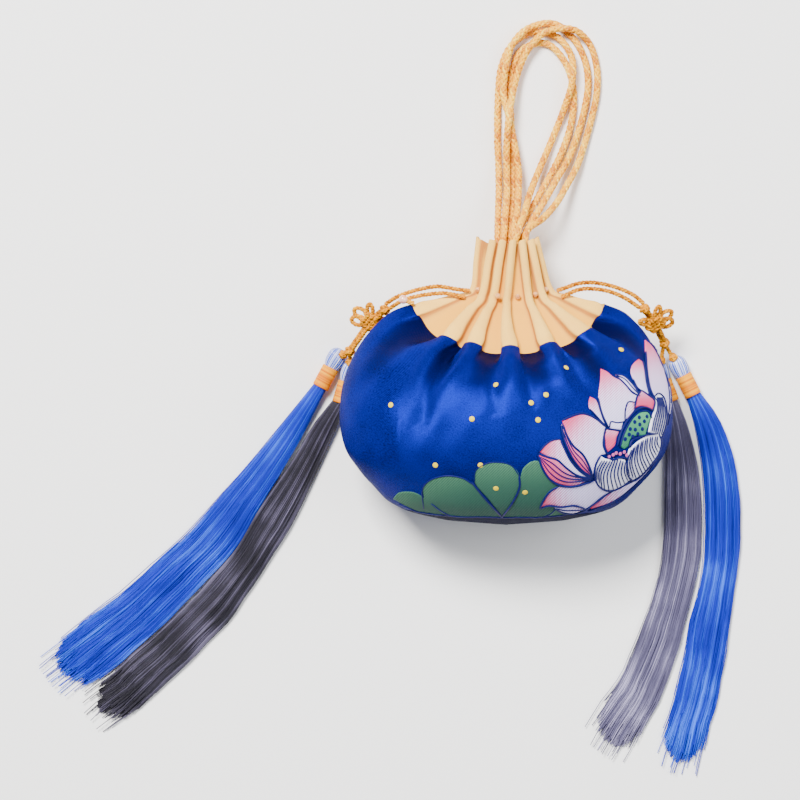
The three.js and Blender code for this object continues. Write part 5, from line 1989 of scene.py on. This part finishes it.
@dataclass
class SideChain:
    """The doubled thin cord of one side, with its knots and the legs of its tassels."""

    name: str
    plan: SidePlan
    trees: Trees
    effects: SharedEffects
    cord: BraidedCord = BraidedCord(2.4 * MM, 0.94 * MM, 0.06 * MM, 5.5 * MM, 3, 5)
    step: float = 0.3 * MM
    declared_every: int = 6
    lines_each_way: int = 4
    spacing: float = 2.1 * MM
    turn_reach: float = 0.75
    button_size: float = 4.6 * MM
    button_tube: float = 0.24
    head_button_share: float = 0.8
    head_button_gap: float = 0.9 * MM
    leg_gap: float = 0.7 * MM
    leg_sag: float = 0.5 * MM
    head_length: float = 10.5 * MM
    head_height: float = 4.75 * MM

    def __post_init__(self) -> None:
        """Finds the knots and heads, and the ways down, outward and out of the knot's plane."""
        plan = self.plan
        self.button, self.square, self.lower = metres([plan.button, plan.square, plan.lower])
        self.heads = [np.append(metres(t.head), self.head_height) for t in plan.tassels.values()]
        self.down = unit(self.lower - self.button)
        out = np.array([*plan.outward, 0.0])
        self.out = unit(out - (out @ self.down) * self.down)
        self.face = np.cross(self.down, self.out)

    def build(self) -> None:
        """Makes the knots first, then the strands that end at them."""
        knot = self.knots()
        self.strands(knot)

    def braid(self, lines: Sequence[np.ndarray], name: str) -> Object:
        """A piece of thin braided cord that follows some lines."""
        material = Finish.KNOT_CORD.made(self.effects)
        return shown(name, self.cord.along(self.trees.braid, lines, material))

    def weave(self) -> list[np.ndarray]:
        """The lines of the square: two cords that cross over and under each other, back and forth."""
        places = (np.arange(self.lines_each_way) - (self.lines_each_way - 1) / 2) * self.spacing
        turn = places[-1] + self.turn_reach * self.spacing
        found = []
        for way, (first, second) in enumerate(((self.down, self.out), (self.out, self.down))):
            spots = []
            for i, fixed in enumerate(places):
                row = range(self.lines_each_way)
                for j in row if i % 2 == 0 else reversed(row):
                    lift = 0.5 * self.cord.diameter * (1 if (i + j + way) % 2 else -1)
                    spots.append((places[j], fixed, lift))
                if i + 1 < self.lines_each_way:
                    end = turn if i % 2 == 0 else -turn
                    spots.append((end, fixed + 0.5 * self.spacing, 0.0))
            axes = np.array([first, second, self.face])
            found.append(smooth_path(self.square + np.array(spots) @ axes, self.step))
        return found

    def ears(self) -> list[np.ndarray]:
        """The loops that stand out of the square."""
        found = []
        for ear in KNOT_EARS:
            far = ear.along * self.down + ear.across * self.out
            aside = unit(ear.along * self.out - ear.across * self.down) * ear.opening
            rows = self.square + np.array(EAR_LOOP) @ np.array([far, aside])
            found.append(smooth_path(rows, self.step))
        return found

    def button_knot(self, centre: np.ndarray, size: float, down: np.ndarray) -> np.ndarray:
        """A round knot: a cord that winds three times round a ring, and four times through it."""
        turns, wraps = 3, 4
        tube = self.button_tube * size
        ring = size / 2 - tube - 0.2 * self.cord.diameter
        angle = np.linspace(0, TURN * turns, 150)
        wind = angle * wraps / turns
        reach = ring + tube * np.cos(wind)
        rows = np.stack([reach * np.cos(angle), reach * np.sin(angle), 1.25 * tube * np.sin(wind)], axis=1)
        turn = turned_to(Vector(down), Vector(centre))
        return np.array([turn @ Vector(row) for row in rows])

    def leads(self) -> list[np.ndarray]:
        """The doubled cord between the knots, and the legs from the lower knot to the heads."""
        found = []
        for start, end in ((self.button, self.square), (self.square, self.lower)):
            for side in (-1, 1):
                aside = side * self.leg_gap * self.out
                bow = aside + side * 0.4 * self.cord.diameter * self.face
                rows = (start + aside, (start + end) / 2 + bow, end + aside)
                found.append(smooth_path(rows, self.step))
        for head in self.heads:
            top = head + unit(self.lower - head) * self.head_length / 2
            middle = (self.lower + top) / 2 - [0, 0, self.leg_sag]
            found.append(smooth_path((self.lower, middle, top), self.step))
        return found

    def knots(self) -> Object:
        """The ornamental knot with its buttons and legs, as one piece."""
        lines = self.weave() + self.ears() + self.leads()
        for centre in (self.button, self.lower):
            lines.append(self.button_knot(centre, self.button_size, self.down))
        for head in self.heads:
            way = unit(self.lower - head)
            middle = head + way * (self.head_length / 2 + self.head_button_gap)
            lines.append(self.button_knot(middle, self.head_button_share * self.button_size, way))
        piece = self.braid(lines, f"{self.name}_ornamental_knot")
        return placed(piece, "knot_cord", f"{self.name}_knot")

    def strands(self, knot: Object) -> None:
        """The two strands from the neck to the knot."""
        for k, waypoints in enumerate(self.plan.strands, start=1):
            path = smooth_path(metres(waypoints), self.step)
            piece = self.braid([path], f"{self.name}_loop_strand_{k}")
            placed(piece, "knot_cord", f"{self.name}_strand_{k}")
            others = [knot] if k == 1 else []
            self.cord.declare(piece, path, self.declared_every, far_end="knot", with_pieces=others)


# The outline of a tassel's head, from its top to the binding: shares of half its length along it,
# and of the radius inside its threads.
HEAD_PROFILE = (
    (-0.98, 0.10), (-0.93, 0.35), (-0.75, 0.72), (-0.40, 0.96),
    (0.05, 1.0), (0.5, 0.97), (0.85, 0.86), (1.05, 0.78),
)

GOLDEN_ANGLE = 2.399963


@dataclass
class Tassel:
    """A tassel: a head of folded threads, a wound binding and a long skirt of loose threads."""

    name: str
    plan: TasselPlan
    finish: Finish
    slot: str
    seed: float
    trees: Trees
    effects: SharedEffects
    head_diameter: float = 9.4 * MM
    head_length: float = 10.5 * MM
    head_thread: float = 0.32 * MM
    head_threads: int = 58
    head_twist: float = 0.25
    head_core_share: float = 0.97
    binding_diameter: float = 8.8 * MM
    binding_length: float = 11.5 * MM
    binding_wall: float = 0.8 * MM
    binding_thread: float = 0.27 * MM
    binding_pitch: float = 0.4725 * MM
    clearance: float = 0.3 * MM
    floor_gap: float = 0.05 * MM
    skirt_height: float = 6.4 * MM
    skirt_start: float = 1.6 * MM
    skirt_thinning: float = 0.45
    thread: float = 0.42 * MM
    threads: int = 720
    thread_rows: int = 26
    thread_reach: float = 0.86
    reach_spread: float = 0.13
    strays: int = 26
    stray_reach: float = 0.06
    stray_spread: float = 1.12
    tone_spread: float = 0.28
    tip_lighter: float = 0.10
    common_wander: float = 1.3 * MM
    own_wander: float = 1.0 * MM

    def __post_init__(self) -> None:
        """Finds the middle of the head, the way to the skirt, and the radius inside the binding."""
        self.skirt_rows = metres(self.plan.skirt)
        self.middle = np.append(metres(self.plan.head), self.head_diameter / 2 + self.floor_gap)
        self.way = unit(np.append(self.skirt_rows[0, :2], self.middle[2]) - self.middle)
        self.core = self.binding_diameter / 2 - self.binding_wall - 1.5 * self.clearance
        self.binding_start = self.head_length / 2 + self.clearance

    def build(self) -> None:
        """Makes the head, the binding and the skirt."""
        self.head()
        self.binding()
        self.skirt()

    def on_line(self, mesh: Mesh, along: float = 0.0) -> Mesh:
        """Puts a mesh made about the Z axis in its place on the head's line."""
        mesh.transform(turned_to(Vector(self.way), Vector(self.middle + self.way * along)))
        return mesh

    def head(self) -> None:
        """The head: threads side by side that run over its top and into the binding."""
        half, inside = self.head_length / 2, self.head_diameter / 2 - self.head_thread
        profile = [(along * half, radius * inside) for along, radius in HEAD_PROFILE]
        parts = MeshParts()
        parts.line(smooth_path([(radius, 0.0, along) for along, radius in profile], 0.7 * MM))
        material = Finish.HEAD_THREAD.made(self.effects)
        sizes = {"Thread_Radius": self.head_thread, "Count": self.head_threads, "Twist": self.head_twist}
        mesh = self.trees.spun.grow(parts.mesh("line"), material, **sizes)
        threads = shown(f"{self.name}_tassel_head", self.on_line(mesh))
        placed(threads, self.slot, f"{self.name}_tassel")
        parts = MeshParts()
        share = self.head_core_share
        parts.body([circle(share * radius, 24, along) for along, radius in profile], shade=0.35)
        mesh = faced_out(self.on_line(parts.mesh("core")))
        core = shown(f"{self.name}_tassel_head_core", mesh, material)
        placed(core, self.slot, f"{self.name}_tassel")

    def binding(self) -> None:
        """The gold thread wound below the head, over a sleeve."""
        radius, outer = self.binding_thread, self.binding_diameter / 2
        material = Finish.BINDING.made(self.effects)
        seedling = MeshParts()
        seedling.add(np.zeros((1, 3)))
        height = self.binding_length - 2 * radius
        mesh = self.trees.winding.grow(
            seedling.mesh("point"),
            material,
            Thread_Radius=radius,
            Winding_Radius=outer - radius,
            Height=height,
            Turns=height / self.binding_pitch,
        )
        wound = shown(f"{self.name}_binding_thread", self.on_line(mesh, self.binding_start + radius))
        placed(wound, "gold_thread", f"{self.name}_binding")
        inner, reach = outer - self.binding_wall, outer - 1.2 * radius
        profile = ((0, inner), (0, reach), (self.binding_length, reach), (self.binding_length, inner))
        parts = MeshParts()
        for along, size in profile:
            parts.add(circle(size, 32, along), shade=0.2)
        parts.grid(0, len(profile), 32, closed_rows=True)
        mesh = faced_out(self.on_line(parts.mesh("sleeve"), self.binding_start))
        sleeve = shown(f"{self.name}_binding_sleeve", mesh, material)
        placed(sleeve, "gold_thread", f"{self.name}_binding")

    def spine(self) -> np.ndarray:
        """The middle line of the skirt with its width: rows of x, y and width."""
        start = self.binding_start + self.binding_length - self.skirt_start
        root = self.middle + self.way * start
        rows = np.vstack([[root[0], root[1], 2 * self.core], self.skirt_rows[1:]])
        return smooth_path(rows, 1.0 * MM)

    def section(self, spine: np.ndarray, place: np.ndarray) -> tuple[np.ndarray, ...]:
        """The skirt's section at shares of its length.

        Args:
            spine: Rows of x, y and width.
            place: Shares of the length.

        Returns:
            The middle, the way aside, the half width, the height of the middle and the half height.
        """
        at = np.clip(place, 0, 1) * (len(spine) - 1)
        table = np.hstack([spine, unit(np.gradient(spine[:, :2], axis=0))])
        x, y, width, *way = (np.interp(at, np.arange(len(spine)), column) for column in table.T)
        along = unit(np.stack(way, axis=1))
        over = np.maximum(place - 1, 0) * path_length(spine[:, :2])
        middle = np.stack([x, y], axis=1) + along * over[:, None]
        aside = np.stack([-along[:, 1], along[:, 0]], axis=1)
        settled = eased(np.clip(place * 7, 0, 1))
        flat = self.skirt_height * (1 - self.skirt_thinning * np.clip(place, 0, 1)) / 2
        tall = self.core * (1 - settled) + flat * settled
        centre = self.middle[2] * (1 - settled) + (flat + 0.1 * MM) * settled
        return middle, aside, width / 2, centre, tall

    def skirt(self) -> None:
        """The loose threads, each on its own place in the bundle, over a slim core."""
        spine = self.spine()
        random = np.random.default_rng(int(self.seed))
        parts = MeshParts()
        for k in range(self.threads):
            ring, angle = math.sqrt((k + 0.5) / self.threads), k * GOLDEN_ANGLE
            across, up = ring * math.cos(angle), ring * math.sin(angle)
            reach = self.thread_reach + self.reach_spread * random.random() ** 0.7 - 0.05 * across**2
            if k % (self.threads // self.strays) == 0:
                reach = min(1.02, reach + self.stray_reach)
                across *= self.stray_spread
            place = np.linspace(0, reach, self.thread_rows)
            middle, aside, half, centre, tall = self.section(spine, place)
            comb = 1 + 0.03 * np.sin(9 * across + 7 * place + self.seed)
            flat = middle + aside * (across * half * comb)[:, None]
            height = np.maximum(centre + tall * up * 0.94, self.thread / 2)
            tone = 0.5 + self.tone_spread * (random.random() - 0.5)
            tone = tone + 0.12 * math.sin(14 * across + self.seed) + self.tip_lighter * place
            parts.line(np.column_stack([flat, height]), number=float(k), shade=tone)
        mesh = self.trees.thread.grow(
            parts.mesh("lines"),
            self.finish.made(self.effects),
            Thread_Radius=self.thread / 2,
            Common_Wander=self.common_wander,
            Own_Wander=self.own_wander,
            Seed=self.seed,
        )
        points = points_of(mesh)
        points[:, 2] = np.maximum(points[:, 2], 0.02 * MM)
        mesh.vertices.foreach_set("co", points.ravel())
        placed(shown(f"{self.name}_tassel_threads", mesh), self.slot, f"{self.name}_tassel")
        mesh = self.inner_bundle(spine)
        bundle = shown(f"{self.name}_tassel_bundle", mesh, self.finish.made(self.effects))
        placed(bundle, self.slot, f"{self.name}_tassel")

    def inner_bundle(self, spine: np.ndarray) -> Mesh:
        """The threads deep inside the skirt, as one slim closed body that keeps it from being hollow."""
        place = np.linspace(0, 0.8, 40)[:, None]
        middle, aside, half, centre, tall = (rows[:, None] for rows in self.section(spine, place[:, 0]))
        shrink = 0.72 * (1 - 0.75 * np.clip((place - 0.35) / 0.45, 0, 1) ** 2)
        cosine, sine, _ = circle(1.0, 16).T
        flat = middle + aside * (half * shrink * cosine)[..., None]
        height = np.maximum(centre + tall * shrink * 0.8 * sine, self.floor_gap)
        parts = MeshParts()
        parts.body(np.concatenate([flat, height[..., None]], axis=2), shade=0.3)
        return faced_out(parts.mesh("bundle"))


@dataclass
class Beads:
    """The beads in the valleys of the neck, and the pearl at the drawstring's end."""

    trees: Trees
    effects: SharedEffects
    neck_bead: float = 2.9 * MM
    side_bead: float = 4.4 * MM
    pearl_rows: int = 18
    pearl_sides: int = 32
    side_place: Point = (-51.4 * MM, 40.2 * MM, 43.8 * MM)
    stub_end: Point = (-46.2 * MM, 38.2 * MM, 42.4 * MM)
    stub: BraidedCord = BraidedCord(2.6 * MM, strand=0.8 * MM, cross_lift=0.1 * MM, lay=7 * MM)

    def build(self) -> None:
        """Makes the beads where the frame has them, and the pearl."""
        names = sorted(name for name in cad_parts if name.startswith("neck_bead_"))
        parts = MeshParts()
        parts.add(np.array([np.mean(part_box(name), axis=0) for name in names]))
        material = Finish.NECK_BEAD.made(self.effects)
        mesh = self.trees.bead.grow(parts.mesh("points"), material, Bead_Radius=self.neck_bead / 2)
        placed(shown("neck_beads", mesh), "amber_bead", *names)
        self.pearl()

    def pearl(self) -> None:
        """The pearl, and the short end of cord that carries it."""
        tilts = math.pi * (np.arange(self.pearl_rows) + 0.5) / self.pearl_rows - math.pi / 2
        radius = self.side_bead / 2
        parts = MeshParts()
        parts.body([circle(radius * math.cos(t), self.pearl_sides, radius * math.sin(t)) for t in tilts])
        mesh = faced_out(parts.mesh("pearl"))
        place, end = Vector(self.side_place), Vector(self.stub_end)
        way = end - place
        mesh.transform(turned_to(way.normalized(), place))
        pearl = shown("side_pearl", mesh, Finish.SIDE_BEAD.made(self.effects))
        placed(pearl, "pearl_bead", "side_bead")
        start = place + way * 0.3
        line = smooth_path((start, (start + end) / 2, end), 0.3 * MM)
        mesh = self.stub.along(self.trees.braid, [line], Finish.SATIN_CORD.made(self.effects))
        placed(shown("side_pearl_stub", mesh), "satin_cord", "side_bead")


@dataclass(frozen=True)
class Lamp:
    """A soft square light: where it hangs, its side, its power and its colour."""

    name: str
    place: Point
    side: float
    power: float
    colour: tuple[float, float, float]


LAMPS = (
    Lamp("key", (-0.75, 1.15, 2.1), 0.8, 195.0, (1.0, 0.98, 0.95)),
    Lamp("fill", (1.4, 0.3, 1.8), 1.6, 40.0, (0.95, 0.97, 1.0)),
)


@dataclass
class Studio:
    """The pale floor, the soft lights and the camera straight above."""

    effects: SharedEffects
    target: Point = (0.0, 0.0, 0.04)
    lens: float = 135.0
    sensor: float = 36.0
    floor_size: float = 6.0
    world_light: float = 0.38
    world_colour: Colour = (0.95, 0.97, 1.0, 1.0)

    def build(self) -> None:
        """Sets up the camera, the floor, the world and the lights."""
        self.camera()
        self.floor()
        self.world()
        for lamp in LAMPS:
            self.light(lamp)

    def camera(self) -> None:
        """The camera, which looks straight down with +Y up."""
        data = bpy.data.cameras.new("above")
        data.lens = self.lens
        data.sensor_width = self.sensor
        data.clip_start = 0.05
        data.clip_end = 20.0
        camera = bpy.data.objects.new("above", data)
        camera.location = EYE
        bpy.context.scene.collection.objects.link(camera)
        bpy.context.scene.camera = camera

    def light(self, lamp: Lamp) -> None:
        """A soft square light that points at the purse."""
        data = bpy.data.lights.new(lamp.name, "AREA")
        data.size = lamp.side
        data.energy = lamp.power
        data.color = lamp.colour
        piece = bpy.data.objects.new(lamp.name, data)
        way = Vector(self.target) - Vector(lamp.place)
        turn = way.to_track_quat("-Z", "Y").to_matrix().to_4x4()
        piece.matrix_world = Matrix.Translation(lamp.place) @ turn
        bpy.context.scene.collection.objects.link(piece)

    def floor(self) -> None:
        """The floor below the purse."""
        half = self.floor_size / 2
        mesh = bpy.data.meshes.new("floor")
        corners = [(-half, -half, 0), (half, -half, 0), (half, half, 0), (-half, half, 0)]
        mesh.from_pydata(corners, [], [(0, 1, 2, 3)])
        surface = Surface("pale_floor", Gloss(0.9, 0.1))
        place = surface.object_place()
        mottle = surface.effect(self.effects.mottle, place, Scale=3.0, Low=0.2, High=0.8)
        pale = surface.blend(mottle["Value"], srgb(248, 248, 248), srgb(250, 250, 250))
        shown("floor", mesh, surface.finished(pale))

    def world(self) -> None:
        """Even pale light from all around."""
        world = bpy.data.worlds.new("studio")
        world.use_nodes = True
        background = world.node_tree.nodes["Background"]
        background.inputs["Color"].default_value = self.world_colour
        background.inputs["Strength"].default_value = self.world_light
        bpy.context.scene.world = world


THREADS = {
    "left_blue": Finish.BLUE_THREAD,
    "left_grey": Finish.GREY_THREAD,
    "right_blue": Finish.BLUE_THREAD,
    # The right grey tassel takes the lighter copy of the grey thread: painted light.
    "right_grey": Finish.LIT_GREY_THREAD,
}


def main() -> None:
    """Builds the purse and its studio."""
    logging.basicConfig(level=logging.INFO, format="%(name)s %(message)s")
    effects, trees = SharedEffects(), Trees()
    Studio(effects).build()
    Handles(trees, effects).build()
    for name, plan in SIDES.items():
        SideChain(name, plan, trees, effects).build()
    cloths = Cloths(ClothForm(), effects)
    cloths.build()
    LotusMotif(cloths.belly, trees, effects).build()
    Beads(trees, effects).build()
    for k, (side, plan) in enumerate(SIDES.items()):
        for m, (colour, tassel) in enumerate(plan.tassels.items()):
            name, slot, seed = f"{side}_{colour}", f"{colour}_thread", float(10 * k + m + 1)
            Tassel(name, tassel, THREADS[name], slot, seed, trees, effects).build()


if __name__ == "__main__":
    main()
